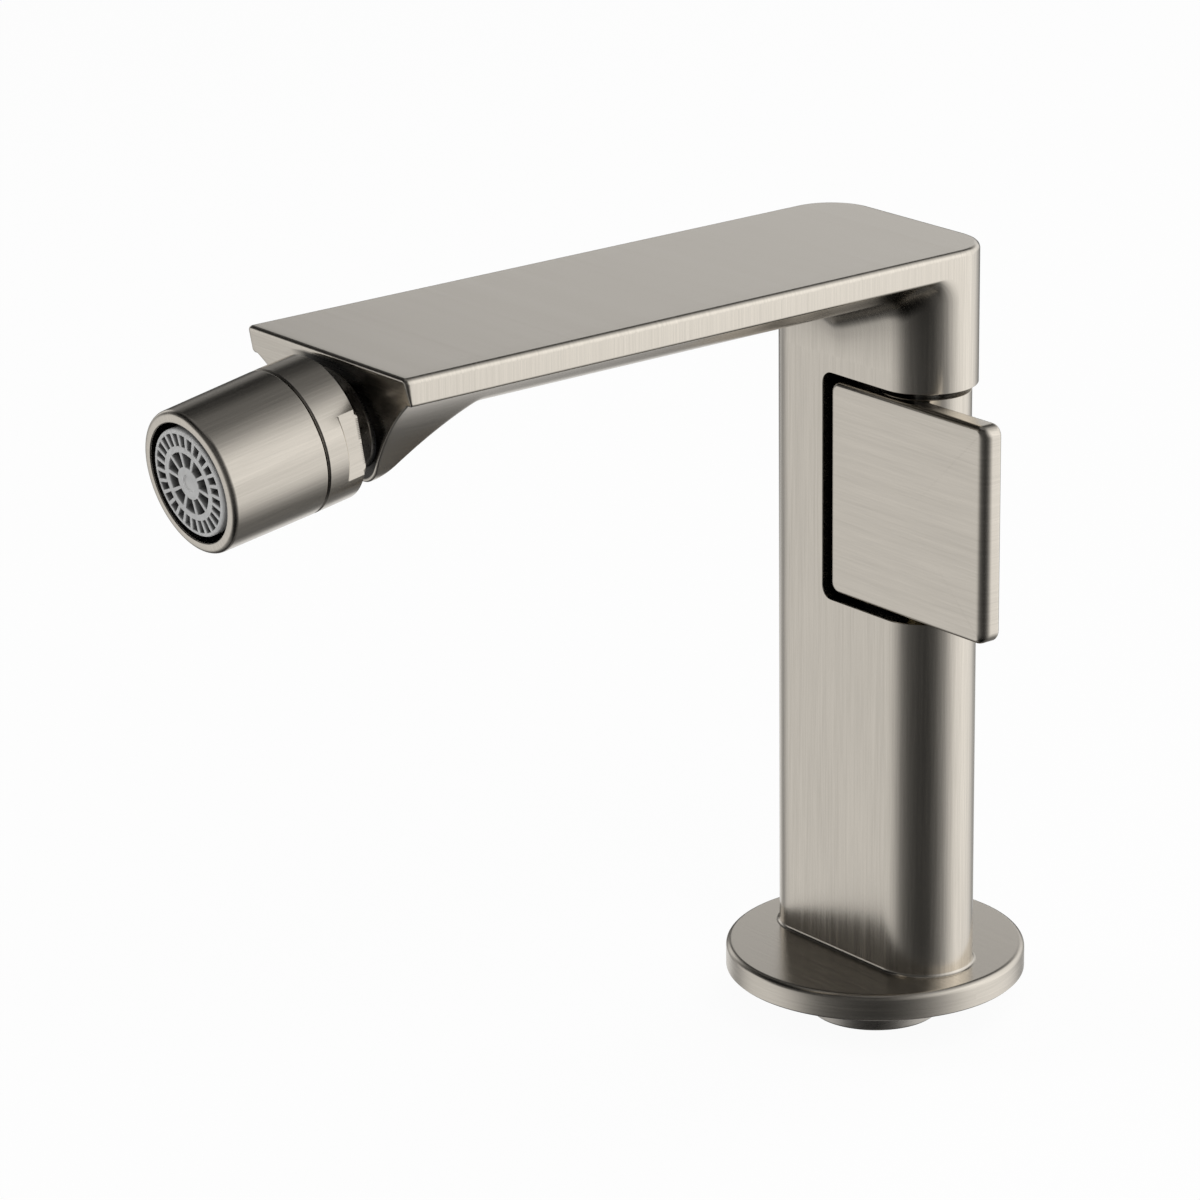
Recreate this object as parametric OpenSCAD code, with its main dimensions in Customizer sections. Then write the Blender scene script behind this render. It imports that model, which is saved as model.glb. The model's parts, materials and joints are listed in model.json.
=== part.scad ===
// Bidet mixer: a flat spout on a slim upright column, with a flush side lever and a ball-jointed outlet.
// The origin is on the deck, on the axis of the base flange. +Z is up, the spout points along -Y,
// and the lever is on the +X side. All sizes are in millimetres.

/* [Base] */
// Diameter of the round base flange
flange_d = 59; // [54:0.5:70]
// Thickness of the base flange
flange_h = 5.3; // [4.5:0.1:9]
// Rounding of the flange's top edge
flange_edge_r = 1.2; // [0.4:0.1:2]
// Diameter of the shank that goes down into the deck hole
shank_d = 26.3; // [24:0.1:32]
// Length of the shank below the deck plane
shank_l = 9.1; // [6:0.1:40]
// Distance of each hose inlet from the middle of the shank
inlet_x = 6.3; // [5.6:0.1:7.2]
// Wall radius of the tapped hose inlets (M10 x 1)
inlet_r = 4.5; // [4:0.1:4.8]
// Depth of the tapped hose inlets
inlet_depth = 9; // [6:0.5:11]
// Distance of the tapped stud hole behind the middle of the shank
stud_y = 9; // [8:0.1:9.6]
// Wall radius of the tapped stud hole (M6)
stud_r = 2.55; // [2:0.05:2.6]
// Thickness left above the tapped stud hole
stud_floor = 1.6; // [1:0.1:2.5]

/* [Column] */
// Width of the column, side to side
col_w = 47.2; // [44:0.1:60]
// Thickness of the column, front to back
col_t = 20; // [19:0.1:26]
// Height of the flat top above the deck
top_z = 150.3; // [146:0.1:220]

/* [Spout] */
// Distance from the column's axis to the front edge of the top plate
spout_reach = 129.4; // [110:0.1:180]
// Height of the straight rim along the top plate's sides
rim_h = 5.3; // [4:0.1:8]
// Depth of the spout's flanks below the top face, behind the nose
spout_depth = 8.7; // [8.3:0.1:10]
// Slope of the spout's underside from its flanks down to its middle, in degrees
belly_angle = 20; // [19:0.5:24]
// Depth of the nose from the top face to its lowest point
nose_depth = 25; // [24:0.1:30]
// Radius of the nose's round bottom
nose_bottom_r = 8.9; // [7:0.1:11]
// Radius of the hollow flanks under the rim
flank_r = 60; // [50:1:90]
// Slope of the nose's flanks where they meet its round bottom, in degrees
flank_angle = 57; // [54:0.5:60]
// Slope of the keel behind the nose, in degrees
keel_angle = 50; // [40:0.5:52]
// Lean of the nose's front face from upright, in degrees
face_lean = 14; // [8:0.5:18]

/* [Lever] */
// Height of the lower edge of the lever plate above the deck
lever_z = 79.2; // [78:0.1:100]
// Height of the lever plate
lever_h = 42.5; // [33.3:0.1:44]
// How far the lever plate stands out past the column's side
lever_out = 17.2; // [8:0.1:30]
// How far the lever plate reaches in past the hub's axis
lever_in = 16; // [12:0.1:17]
// Thickness of the lever plate
lever_t = 4.7; // [4.5:0.1:6]
// Corner radius of the lever plate
lever_corner_r = 2; // [1:0.1:4]
// Step of the hub below the column's round end
hub_step = 1.2; // [0.8:0.1:1.6]
// Gap between the lever plate's inner end and the pocket
pocket_gap = 2.1; // [1:0.1:4]
// Gap above and below the lever plate
pocket_gap_z = 1.45; // [1:0.05:4]
// Radius of the spindle
spindle_r = 3.4; // [3:0.1:3.8]

/* [Cartridge] */
// Radius of the cartridge's seat in the column
cart_seat_r = 7.7; // [7.5:0.1:8]
// Height of the cartridge seat's floor above the deck
cart_z = 40; // [34:0.5:42]
// Thickness of each ceramic disc
disc_t = 3; // [2:0.1:3.5]
// Distance of each port from the cartridge's axis
port_x = 3.6; // [3.3:0.1:3.8]
// Radius of the ports in the discs
port_r = 2; // [1.6:0.1:2.2]
// Radius of the supply ways in the column
supply_r = 2.6; // [2:0.1:2.6]
// Radius of the mixed water way in the column and spout
mixed_r = 4.2; // [3:0.1:4.2]

/* [Outlet] */
// Tilt of the outlet below level, in degrees
outlet_tilt = 9.5; // [5:0.5:14]
// Depth of the outlet's axis below the top face, on the nose's front face
outlet_drop = 12.5; // [12:0.1:13]
// Radius of the housing and the collar
outlet_r = 13.5; // [13.2:0.1:16]
// Distance from the nose to the housing's front rim
outlet_l = 33; // [32.5:0.1:40]
// Distance from the nose to the collar's rear end
collar_start = 4.3; // [4.2:0.1:5]
// Distance from the nose to the seam between the collar and the housing
seam_at = 12.8; // [12.6:0.1:14]
// Size across the collar's spanner flats
flats_af = 24; // [23:0.5:26]
// Length of the spanner flats
flats_l = 3.8; // [3:0.1:5]
// Radius of the ball
ball_r = 8.8; // [8.4:0.1:8.8]
// Distance from the nose to the ball's centre
ball_at = 12; // [11.8:0.1:12.5]
// Radius of the nipple's thread in the nose
nipple_r = 7.5; // [7:0.1:8.2]
// Radius of the open front of the housing
mouth_r = 11.4; // [11.2:0.1:11.5]
// Radius of the aerator insert
insert_r = 10.45; // [10:0.05:10.8]
// Number of slots in the insert's outer ring
outer_slots = 26; // [18:1:30]
// Number of openings in the insert's inner ring
inner_slots = 10; // [8:1:16]

/* [Hidden] */
$fn = 64;

// Clearances: still pieces, turning pieces, the ball's seats and the ceramic discs
still_gap = 0.05;
turn_gap = 0.1;
ball_gap = 0.1;
disc_gap = 0.02;
// Overshoot of a cut past the face that it opens
cut = 1;

nickel = "#a9a299";
brass = "#c2a14d";
rubber = "#1d1d1d";
ceramic = "#e6e2da";
plastic = "#d4d4d2";

// Column: centre of each round end, and the upright axis of the lever
end_r = col_t / 2;
end_x = (col_w - col_t) / 2;

// Lever, hub and pocket
hub_r = end_r - hub_step;
hub_gap = 0.6;
hub_end_gap = 0.4;
lever_back_gap = 0.8;
pocket_corner_extra = 0.4;
lever_x0 = end_x - lever_in;
lever_x1 = col_w / 2 + lever_out;
lever_back = -end_r + lever_t;
pocket_x0 = lever_x0 - pocket_gap;
pocket_z0 = lever_z - pocket_gap_z;
pocket_z1 = lever_z + lever_h + pocket_gap_z;
pocket_r = lever_corner_r + pocket_corner_extra;
pocket_floor = lever_back + lever_back_gap;
web_x = end_x - hub_r + hub_step;
hub_z0 = pocket_z0 + hub_end_gap;
hub_z1 = pocket_z1 - hub_end_gap;
socket_l = 16;
grub_at = hub_z0 + socket_l / 2;
screw_head_h = 3.2;
screw_seat_y = 2.6;
screw_tip_wall = 1.8;
screw_tip_y = -end_r + screw_tip_wall;
screw_key = 3;
grub_key = 2;
key_depth = 2;
grub_recess = 0.6;
pin_r = 2.5;
pin_in_hub = 6;
pin_in_head = 8;
bush_r = 4;
// The two plate screws stand between the spindle's socket and the pin, with three equal walls
screw_r = 2;
screw_head_r = 3.5;
screw_hole_r = screw_head_r + still_gap;
screw_low = hub_z0 + socket_l;
screw_high = hub_z1 - pin_in_hub;
screw_wall = (screw_high - screw_low - 4 * screw_hole_r) / 3;
screw_at = [screw_low + screw_wall + screw_hole_r, screw_high - screw_wall - screw_hole_r];

// Cartridge, from the seat's floor upwards
inlet_seal_h = 2;
cart_floor_h = 3;
cart_wall = 1.6;
cart_r = cart_seat_r - turn_gap;
cart_bore_r = cart_r - cart_wall;
cart_z0 = cart_z + inlet_seal_h;
fixed_z0 = cart_z0 + cart_floor_h;
moving_z0 = fixed_z0 + disc_t + disc_gap;
spindle_z0 = moving_z0 + disc_t;
spindle_flange_h = 2.5;
spindle_side_gap = 0.5;
spindle_flange_r = cart_bore_r - spindle_side_gap;
chamber_h = 4;
guide_z0 = spindle_z0 + spindle_flange_h + chamber_h;
nut_recess = 1.5;
nut_h = 6.5;
nut_slot_w = 2;
nut_slot_depth = 1.2;
nut_z1 = pocket_z0 - nut_recess;
cart_z1 = nut_z1 - nut_h;
outlet_port_rise = 1.6;
outlet_port_z = spindle_z0 + outlet_port_rise;
outlet_port_r = 2.4;
o_ring_r = 0.5;
o_ring_centre_r = cart_seat_r - still_gap - o_ring_r;
o_ring_inset = [1.6, 3];
o_ring_at = [cart_z0 + o_ring_inset[0], cart_z1 - o_ring_inset[1]];
spindle_ring_z = (guide_z0 + cart_z1) / 2;
spindle_ring_r = 0.7;
// Start angle and width of the moving disc's open sectors
cold_sector = [-125, 85];
hot_sector = [45, 70];
riser_inset = 1.6;
riser_x = -end_x + riser_inset;
way_drop = 9;
way_z = top_z - way_drop;

// Base
tenon_h = 8;
tenon_wall = 4;
tenon_t = col_t - 2 * tenon_wall;
tenon_w = col_w - 2 * tenon_wall;
seal_margin = 2.5;
seal_r0 = tenon_w / 2 + seal_margin;
seal_w = 3.5;
seal_h = 1.8;
cross_rise = 4;
cross_step = 8;
cold_cross_z = flange_h + tenon_h + cross_rise;
hot_cross_z = cold_cross_z + cross_step;

// Outlet, measured along its own axis from the nose's front face
outlet_y = -spout_reach + outlet_drop * tan(face_lean);
outlet_z = top_z - outlet_drop;
seat_at = -0.8;
seat_r = 10;
nipple_l = 5;
nipple_flange_r = 9.8;
nipple_flange_h = 0.8;
neck_r = 4.4;
ball_bore_r = 3.2;
ball_nose = 7.5;
ball_front = ball_at + ball_nose;
seat_ring_t = 0.8;
cup_r = ball_r + 2 * ball_gap + seat_ring_t;
collar_mouth_r = 7.2;
collar_edge = 0.6;
seam_w = 0.3;
sleeve_reach = 8;
sleeve_end = ball_at + sleeve_reach;
housing_wall = 1.3;
housing_bore_r = outlet_r - housing_wall;
sleeve_r = housing_bore_r - turn_gap;
sleeve_step = 0.8;
sleeve_bore_r = cup_r + sleeve_step;
front_seat_reach = [2.5, 6.5];
front_seat = [ball_at + front_seat_reach[0], ball_at + front_seat_reach[1]];
rear_seat_angles = [45, 85];
seat_o_ring_r = (sleeve_end - front_seat[1]) / 2 - still_gap;
seat_o_ring_inset = 1.2;
gasket_h = 1.9;
gasket_hole_r = 7.5;
insert_z0 = sleeve_end + gasket_h + 2 * still_gap;
insert_flange_h = 2;
insert_recess = 0.4;
insert_front = outlet_l - insert_recess;
insert_wall = 1.2;
grille_h = 2.5;
rim_round = 1;
slot_w = 1.15;
slot_span = [7.2, 9.6];
inner_span = [3.2, 5.6];
// Width left between two inner openings at their inner ends
inner_rib = 0.45;
inner_slot_w = 2 * inner_span[0] * sin(180 / inner_slots) - inner_rib;
screen_h = 0.6;
diffuser_h = 2;
diffuser_z0 = insert_front - grille_h - diffuser_h - still_gap;
small_hole_r = 0.6;
// Rings of small holes, each as [radius, count]
diffuser_rings = [[7.2, 18], [4.5, 12]];
screen_rings = [[7.6, 18], [5.4, 12], [3, 6]];
// Points on each arc of the nose's outline
arc_steps = 12;

function nose_centre_h() = nose_depth - nose_bottom_r;
function flank_centre() = [
    (nose_bottom_r + flank_r) * sin(flank_angle),
    nose_centre_h() + (nose_bottom_r + flank_r) * cos(flank_angle)];
// Angle at which the hollow flank meets the underside of the rim
function flank_end() = acos((flank_centre()[1] - rim_h) / flank_r);

// Half width of the nose's outline at a depth on its hollow flank
function flank_at(depth) =
    flank_centre()[0] - sqrt(pow(flank_r, 2) - pow(flank_centre()[1] - depth, 2));

// Right half of the nose's outline, as [half width, depth below the top face]
function nose_half() = concat(
    [[0, 0], [col_w / 2, 0], [col_w / 2, rim_h]],
    [for (i = [0:arc_steps]) let (a = flank_end() + (flank_angle - flank_end()) * i / arc_steps)
        [min(col_w / 2, flank_centre()[0] - flank_r * sin(a)), flank_centre()[1] - flank_r * cos(a)]],
    [for (i = [1:arc_steps]) let (a = flank_angle * (1 - i / arc_steps))
        [nose_bottom_r * sin(a), nose_centre_h() + nose_bottom_r * cos(a)]]);

// Upright slab with two round ends, the section of the column
module stadium(w, t) {
    square([w - t, t], center = true);
    for (side = [-1, 1])
        translate([side * (w - t) / 2, 0])
            circle(d = t);
}

// Square with four round corners, from one corner to the other
module rounded(x0, y0, x1, y1, r) {
    translate([x0 + r, y0])
        square([x1 - x0 - 2 * r, y1 - y0]);
    translate([x0, y0 + r])
        square([x1 - x0, y1 - y0 - 2 * r]);
    for (x = [x0 + r, x1 - r], y = [y0 + r, y1 - r])
        translate([x, y])
            circle(r);
}

// Turns an outline drawn in X and Z into a slab between two Y values
module slab_y(y0, y1) {
    translate([0, y1, 0])
        rotate([90, 0, 0])
            linear_extrude(y1 - y0)
                children();
}

// Upright round rod at [x, y]
module post(x, y, z0, z1, r) {
    translate([x, y, z0])
        cylinder(h = z1 - z0, r = r);
}

// Round rod along X
module rod_x(x0, x1, y, z, r) {
    translate([x0, y, z])
        rotate([0, 90, 0])
            cylinder(h = x1 - x0, r = r);
}

// Round rod along Y
module rod_y(x, y0, y1, z, r) {
    translate([x, y1, z])
        rotate([90, 0, 0])
            cylinder(h = y1 - y0, r = r);
}

// Places its children, drawn along +Z, on the outlet's axis with 0 on the nose's front face
module on_outlet() {
    translate([0, outlet_y, outlet_z])
        rotate([90 + outlet_tilt, 0, 0])
            children();
}

// Round tube or rod along the local Z axis
module tube(z0, z1, r_out, r_in = 0) {
    difference() {
        translate([0, 0, z0])
            cylinder(h = z1 - z0, r = r_out);
        if (r_in > 0)
            translate([0, 0, z0 - cut])
                cylinder(h = z1 - z0 + 2 * cut, r = r_in);
    }
}

// Rubber ring of round section, centred at height z
module o_ring(z, ring_r, section_r) {
    translate([0, 0, z])
        rotate_extrude()
            translate([ring_r, 0])
                circle(section_r);
}

// Spout: the nose's outline along its whole length, cut to the keel from the side, and to a shallow ridge
// behind the nose
module spout_belly() {
    nose_y = -spout_reach + nose_depth * tan(face_lean);
    keel_y = nose_y + (nose_depth - rim_h) / tan(keel_angle);
    side_depth = spout_depth + (flank_at(spout_depth) - col_w / 2) * tan(belly_angle);
    ridge_depth = spout_depth + flank_at(spout_depth) * tan(belly_angle);
    intersection() {
        slab_y(-spout_reach - cut, 0)
            for (side = [0, 1])
                mirror([side, 0])
                    polygon([for (p = nose_half()) [p[0], top_z - p[1]]]);
        union() {
            rotate([90, 0, 90])
                translate([0, 0, -col_w])
                    linear_extrude(2 * col_w)
                        polygon([[-spout_reach, top_z], [keel_y, top_z], [keel_y, top_z - rim_h],
                            [nose_y, top_z - nose_depth]]);
            slab_y(nose_y, 0)
                polygon([[-col_w / 2, top_z], [-col_w / 2, top_z - side_depth], [0, top_z - ridge_depth],
                    [col_w / 2, top_z - side_depth], [col_w / 2, top_z]]);
        }
    }
}

// Space that the lever plate and hub turn in
module lever_pocket() {
    slab_y(-col_t, pocket_floor)
        rounded(pocket_x0, pocket_z0, col_w, pocket_z1, pocket_r);
    post(end_x, 0, pocket_z0, pocket_z1, hub_r + hub_gap);
    translate([web_x, -col_t, pocket_z0])
        cube([col_w, 2 * col_t, pocket_z1 - pocket_z0]);
}

// Ways for the hot, cold and mixed water
module water_ways() {
    post(inlet_x, 0, flange_h, cold_cross_z, supply_r);
    rod_x(inlet_x, end_x + port_x, 0, cold_cross_z, supply_r);
    post(end_x + port_x, 0, cold_cross_z, cart_z + cut, supply_r);
    post(-inlet_x, 0, flange_h, hot_cross_z, supply_r);
    rod_x(-inlet_x, end_x - port_x, 0, hot_cross_z, supply_r);
    post(end_x - port_x, 0, hot_cross_z, cart_z + cut, supply_r);
    rod_x(riser_x, end_x, 0, outlet_port_z, outlet_port_r);
    post(riser_x, 0, outlet_port_z, way_z, mixed_r);
    rod_x(riser_x, 0, 0, way_z, mixed_r);
    rod_y(0, outlet_y + nipple_l, 0, way_z, mixed_r);
}

module body() {
    color(nickel)
        difference() {
            union() {
                translate([0, 0, flange_h])
                    linear_extrude(top_z - flange_h)
                        stadium(col_w, col_t);
                spout_belly();
            }
            lever_pocket();
            water_ways();
            post(end_x, 0, cart_z, pocket_z0 + cut, cart_seat_r);
            post(end_x, 0, pocket_z1 - cut, pocket_z1 + pin_in_head, bush_r + still_gap);
            translate([0, 0, flange_h - cut])
                linear_extrude(tenon_h + cut)
                    stadium(tenon_w + 2 * still_gap, tenon_t + 2 * still_gap);
            on_outlet() {
                tube(-nipple_l, cut, nipple_r + still_gap);
                tube(-nipple_l - mixed_r, cut, ball_bore_r);
                tube(seat_at, 2 * cut, seat_r);
            }
        }
}

module base_flange() {
    color(nickel)
        difference() {
            rotate_extrude() {
                square([flange_d / 2, flange_h - flange_edge_r]);
                square([flange_d / 2 - flange_edge_r, flange_h]);
                translate([flange_d / 2 - flange_edge_r, flange_h - flange_edge_r])
                    circle(flange_edge_r);
            }
            translate([0, 0, -cut])
                linear_extrude(flange_h + 2 * cut)
                    stadium(tenon_w + 2 * still_gap, tenon_t + 2 * still_gap);
            tube(-cut, seal_h, seal_r0 + seal_w + still_gap, seal_r0 - still_gap);
        }
}

module deck_seal() {
    color(rubber)
        tube(0, seal_h - still_gap, seal_r0 + seal_w, seal_r0);
}

module base_shank() {
    color(nickel)
        difference() {
            union() {
                tube(-shank_l, 0, shank_d / 2);
                linear_extrude(flange_h + tenon_h)
                    stadium(tenon_w, tenon_t);
            }
            for (side = [-1, 1]) {
                post(side * inlet_x, 0, -shank_l - cut, -shank_l + inlet_depth, inlet_r);
                post(side * inlet_x, 0, -shank_l, flange_h + tenon_h + cut, supply_r);
            }
            post(0, stud_y, -shank_l - cut, -stud_floor, stud_r);
        }
}

// Plate with the two ports that the supply ways open into
module two_ports(z0, z1, r, hole_r) {
    translate([end_x, 0, 0])
        difference() {
            tube(z0, z1, r);
            for (side = [-1, 1])
                post(side * port_x, 0, z0 - cut, z1 + cut, hole_r);
        }
}

module inlet_seal() {
    color(rubber)
        two_ports(cart_z, cart_z0, cart_seat_r - turn_gap, supply_r);
}

module cartridge_body() {
    color(plastic)
        difference() {
            two_ports(cart_z0, cart_z1, cart_r, port_r);
            post(end_x, 0, fixed_z0, cart_z1 + cut, cart_bore_r);
            rod_x(end_x - 2 * cart_r, end_x, 0, outlet_port_z, outlet_port_r);
            translate([end_x, 0, 0])
                for (z = o_ring_at)
                    tube(z - o_ring_r - still_gap, z + o_ring_r + still_gap, 2 * cart_r,
                        o_ring_centre_r - o_ring_r - still_gap);
        }
}

module cartridge_o_rings() {
    color(rubber)
        translate([end_x, 0, 0])
            for (z = o_ring_at)
                o_ring(z, o_ring_centre_r, o_ring_r);
}

module fixed_disc() {
    color(ceramic)
        two_ports(fixed_z0, fixed_z0 + disc_t, cart_bore_r - still_gap, port_r);
}

module guide_bush() {
    color(brass)
        translate([end_x, 0, 0])
            tube(guide_z0, cart_z1, cart_bore_r - still_gap, spindle_r + turn_gap);
}

module retaining_nut() {
    color(brass)
        difference() {
            translate([end_x, 0, 0])
                tube(cart_z1, nut_z1, cart_r, spindle_r + turn_gap);
            for (turn = [0, 90])
                translate([end_x, 0, nut_z1])
                    rotate(turn)
                        cube([2 * cart_r + cut, nut_slot_w, 2 * nut_slot_depth], center = true);
        }
}

module upper_bush() {
    color(plastic)
        translate([end_x, 0, 0])
            tube(pocket_z1, pocket_z1 + pin_in_head, bush_r, pin_r + turn_gap);
}

module lever_plate() {
    color(nickel)
        difference() {
            slab_y(-end_r, lever_back)
                rounded(lever_x0, lever_z, lever_x1, lever_z + lever_h, lever_corner_r);
            for (z = screw_at)
                rod_y(end_x, screw_tip_y, 0, z, screw_r + still_gap);
        }
}

module lever_hub() {
    color(nickel)
        difference() {
            post(end_x, 0, hub_z0, hub_z1, hub_r);
            translate([0, -col_t, lever_z - still_gap])
                cube([col_w, col_t + lever_back, lever_h + 2 * still_gap]);
            post(end_x, 0, hub_z0 - cut, hub_z0 + socket_l, spindle_r + still_gap);
            post(end_x, 0, hub_z1 - pin_in_hub, hub_z1 + cut, pin_r + still_gap);
            rod_y(end_x, 0, col_t, grub_at, screw_r + still_gap);
            for (z = screw_at) {
                rod_y(end_x, -col_t, col_t, z, screw_r + still_gap);
                rod_y(end_x, screw_seat_y, col_t, z, screw_hole_r);
            }
        }
}

// Round rod along Y with a hexagon socket in its rear end
module socket_head(y0, y1, z, r, key_af) {
    difference() {
        rod_y(end_x, y0, y1, z, r);
        translate([end_x, y1 + cut, z])
            rotate([90, 0, 0])
                cylinder(h = key_depth + cut, d = key_af / cos(30), $fn = 6);
    }
}

module plate_screws() {
    color(brass)
        for (z = screw_at) {
            rod_y(end_x, screw_tip_y, screw_seat_y, z, screw_r);
            socket_head(screw_seat_y, screw_seat_y + screw_head_h, z, screw_head_r, screw_key);
        }
}

module spindle_grub_screw() {
    color(brass)
        socket_head(spindle_r + still_gap, hub_r - grub_recess, grub_at, screw_r, grub_key);
}

module spindle() {
    color(brass)
        translate([end_x, 0, 0])
            difference() {
                union() {
                    tube(spindle_z0, spindle_z0 + spindle_flange_h, spindle_flange_r);
                    tube(spindle_z0, hub_z0 + socket_l, spindle_r);
                }
                tube(spindle_ring_z - spindle_ring_r - still_gap, spindle_ring_z + spindle_ring_r + still_gap,
                    2 * spindle_r, spindle_r - 2 * spindle_ring_r + turn_gap);
            }
}

module spindle_o_ring() {
    color(rubber)
        translate([end_x, 0, 0])
            o_ring(spindle_ring_z, spindle_r - spindle_ring_r + still_gap, spindle_ring_r - still_gap);
}

// Disc with two open sectors: one uncovers the cold port first, then the other the hot port
module moving_disc() {
    color(ceramic)
        translate([end_x, 0, 0])
            difference() {
                tube(moving_z0, moving_z0 + disc_t, spindle_flange_r);
                for (sector = [cold_sector, hot_sector])
                    rotate([0, 0, sector[0]])
                        translate([0, 0, moving_z0 - cut])
                            rotate_extrude(angle = sector[1])
                                translate([port_x - port_r, 0])
                                    square([2 * port_r, disc_t + 2 * cut]);
            }
}

module upper_pivot_pin() {
    color(brass)
        post(end_x, 0, hub_z1 - pin_in_hub, pocket_z1 + pin_in_head - still_gap, pin_r);
}

module ball_nipple() {
    color(nickel)
        on_outlet()
            difference() {
                union() {
                    tube(-nipple_l + still_gap, still_gap, nipple_r);
                    tube(0, nipple_flange_h, nipple_flange_r);
                    tube(0, ball_at, neck_r);
                    translate([0, 0, ball_at])
                        sphere(ball_r);
                }
                tube(-nipple_l - cut, ball_at + 2 * ball_r, ball_bore_r);
                tube(ball_front, ball_at + 2 * ball_r, 2 * ball_r);
            }
}

module nipple_gasket() {
    color(rubber)
        on_outlet()
            tube(seat_at, 0, nipple_flange_r, nipple_r + still_gap);
}

// Shell round the ball's rear, between two angles from the axis
module rear_seat_ring() {
    r0 = ball_r + ball_gap;
    r1 = r0 + seat_ring_t;
    far = 2 * r1;
    color(plastic)
        on_outlet()
            translate([0, 0, ball_at])
                rotate_extrude()
                    intersection() {
                        difference() {
                            circle(r1);
                            circle(r0);
                        }
                        polygon([[0, 0],
                            [far * sin(rear_seat_angles[0]), -far * cos(rear_seat_angles[0])],
                            [far, -far * cos(rear_seat_angles[0])],
                            [far * sin(rear_seat_angles[1]), -far * cos(rear_seat_angles[1])]]);
                    }
}

module front_seat_ring() {
    color(plastic)
        on_outlet()
            difference() {
                tube(front_seat[0], front_seat[1], sleeve_bore_r - turn_gap);
                translate([0, 0, ball_at])
                    sphere(ball_r + ball_gap);
            }
}

module swivel_collar() {
    color(nickel)
        on_outlet()
            difference() {
                union() {
                    translate([0, 0, collar_start])
                        cylinder(h = collar_edge, r1 = outlet_r - collar_edge, r2 = outlet_r);
                    tube(collar_start + collar_edge, seam_at - seam_w / 2, outlet_r);
                    tube(seam_at - seam_w, sleeve_end, sleeve_r);
                }
                tube(collar_start - cut, ball_at, collar_mouth_r);
                translate([0, 0, ball_at])
                    sphere(cup_r);
                tube(ball_at, sleeve_end + cut, sleeve_bore_r);
                for (side = [0, 1])
                    mirror([side, 0, 0])
                        translate([flats_af / 2, -outlet_r, collar_start - cut])
                            cube([outlet_r, 2 * outlet_r, flats_l + cut]);
            }
}

module outlet_housing() {
    rim_x = outlet_r - rim_round;
    rim_start = outlet_l - rim_round;
    color(nickel)
        on_outlet()
            difference() {
                rotate_extrude() {
                    translate([0, seam_at + seam_w / 2])
                        square([outlet_r, rim_start - seam_at - seam_w / 2]);
                    square([rim_x, outlet_l]);
                    translate([rim_x, rim_start])
                        circle(rim_round);
                }
                tube(-cut, seam_at + seam_w / 2, 2 * outlet_r);
                tube(0, insert_z0 + insert_flange_h, housing_bore_r);
                tube(0, outlet_l + cut, mouth_r);
            }
}

module seat_o_ring() {
    color(rubber)
        on_outlet()
            o_ring((front_seat[1] + sleeve_end) / 2, sleeve_bore_r - seat_o_ring_inset, seat_o_ring_r);
}

module outlet_gasket() {
    color(rubber)
        on_outlet()
            tube(sleeve_end + still_gap, sleeve_end + still_gap + gasket_h, sleeve_r, gasket_hole_r);
}

// Ring of radial openings through the insert's front
module slot_ring(count, span, width) {
    for (i = [0:count - 1])
        rotate(360 * i / count)
            translate([span[0], -width / 2, insert_front - grille_h - cut])
                cube([span[1] - span[0], width, grille_h + 2 * cut]);
}

module aerator_insert() {
    color(plastic)
        on_outlet()
            difference() {
                union() {
                    tube(insert_z0, insert_front, insert_r);
                    tube(insert_z0, insert_z0 + insert_flange_h - still_gap, sleeve_r);
                }
                tube(insert_z0 - cut, insert_front - grille_h, insert_r - insert_wall);
                slot_ring(outer_slots, slot_span, slot_w);
                slot_ring(inner_slots, inner_span, inner_slot_w);
            }
}

// Round plate with rings of small holes, in the insert's bore
module hole_plate(z0, h, hole_r, rings) {
    difference() {
        tube(z0, z0 + h, insert_r - insert_wall - still_gap);
        for (ring = rings, i = [0:ring[1] - 1])
            rotate(360 * i / ring[1])
                translate([ring[0], 0, z0 - cut])
                    cylinder(h = h + 2 * cut, r = hole_r, $fn = 24);
    }
}

module diffuser_disc() {
    color(plastic)
        on_outlet()
            hole_plate(diffuser_z0, diffuser_h, small_hole_r, diffuser_rings);
}

module inlet_screen() {
    color("silver")
        on_outlet()
            hole_plate(insert_z0 + still_gap, screen_h, small_hole_r, screen_rings);
}

body();
base_flange();
deck_seal();
base_shank();
inlet_seal();
cartridge_body();
cartridge_o_rings();
fixed_disc();
guide_bush();
retaining_nut();
upper_bush();
ball_nipple();
nipple_gasket();
lever_plate();
lever_hub();
plate_screws();
spindle_grub_screw();
spindle();
spindle_o_ring();
moving_disc();
upper_pivot_pin();
rear_seat_ring();
front_seat_ring();
swivel_collar();
outlet_housing();
seat_o_ring();
outlet_gasket();
aerator_insert();
diffuser_disc();
inlet_screen();
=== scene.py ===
"""Builds the visible pieces and the finishes of a bidet mixer around its fixed frame, in metres."""

import json
import math
from collections import namedtuple

import bmesh
import bpy
import numpy as np
from mathutils import Matrix, Vector


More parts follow.
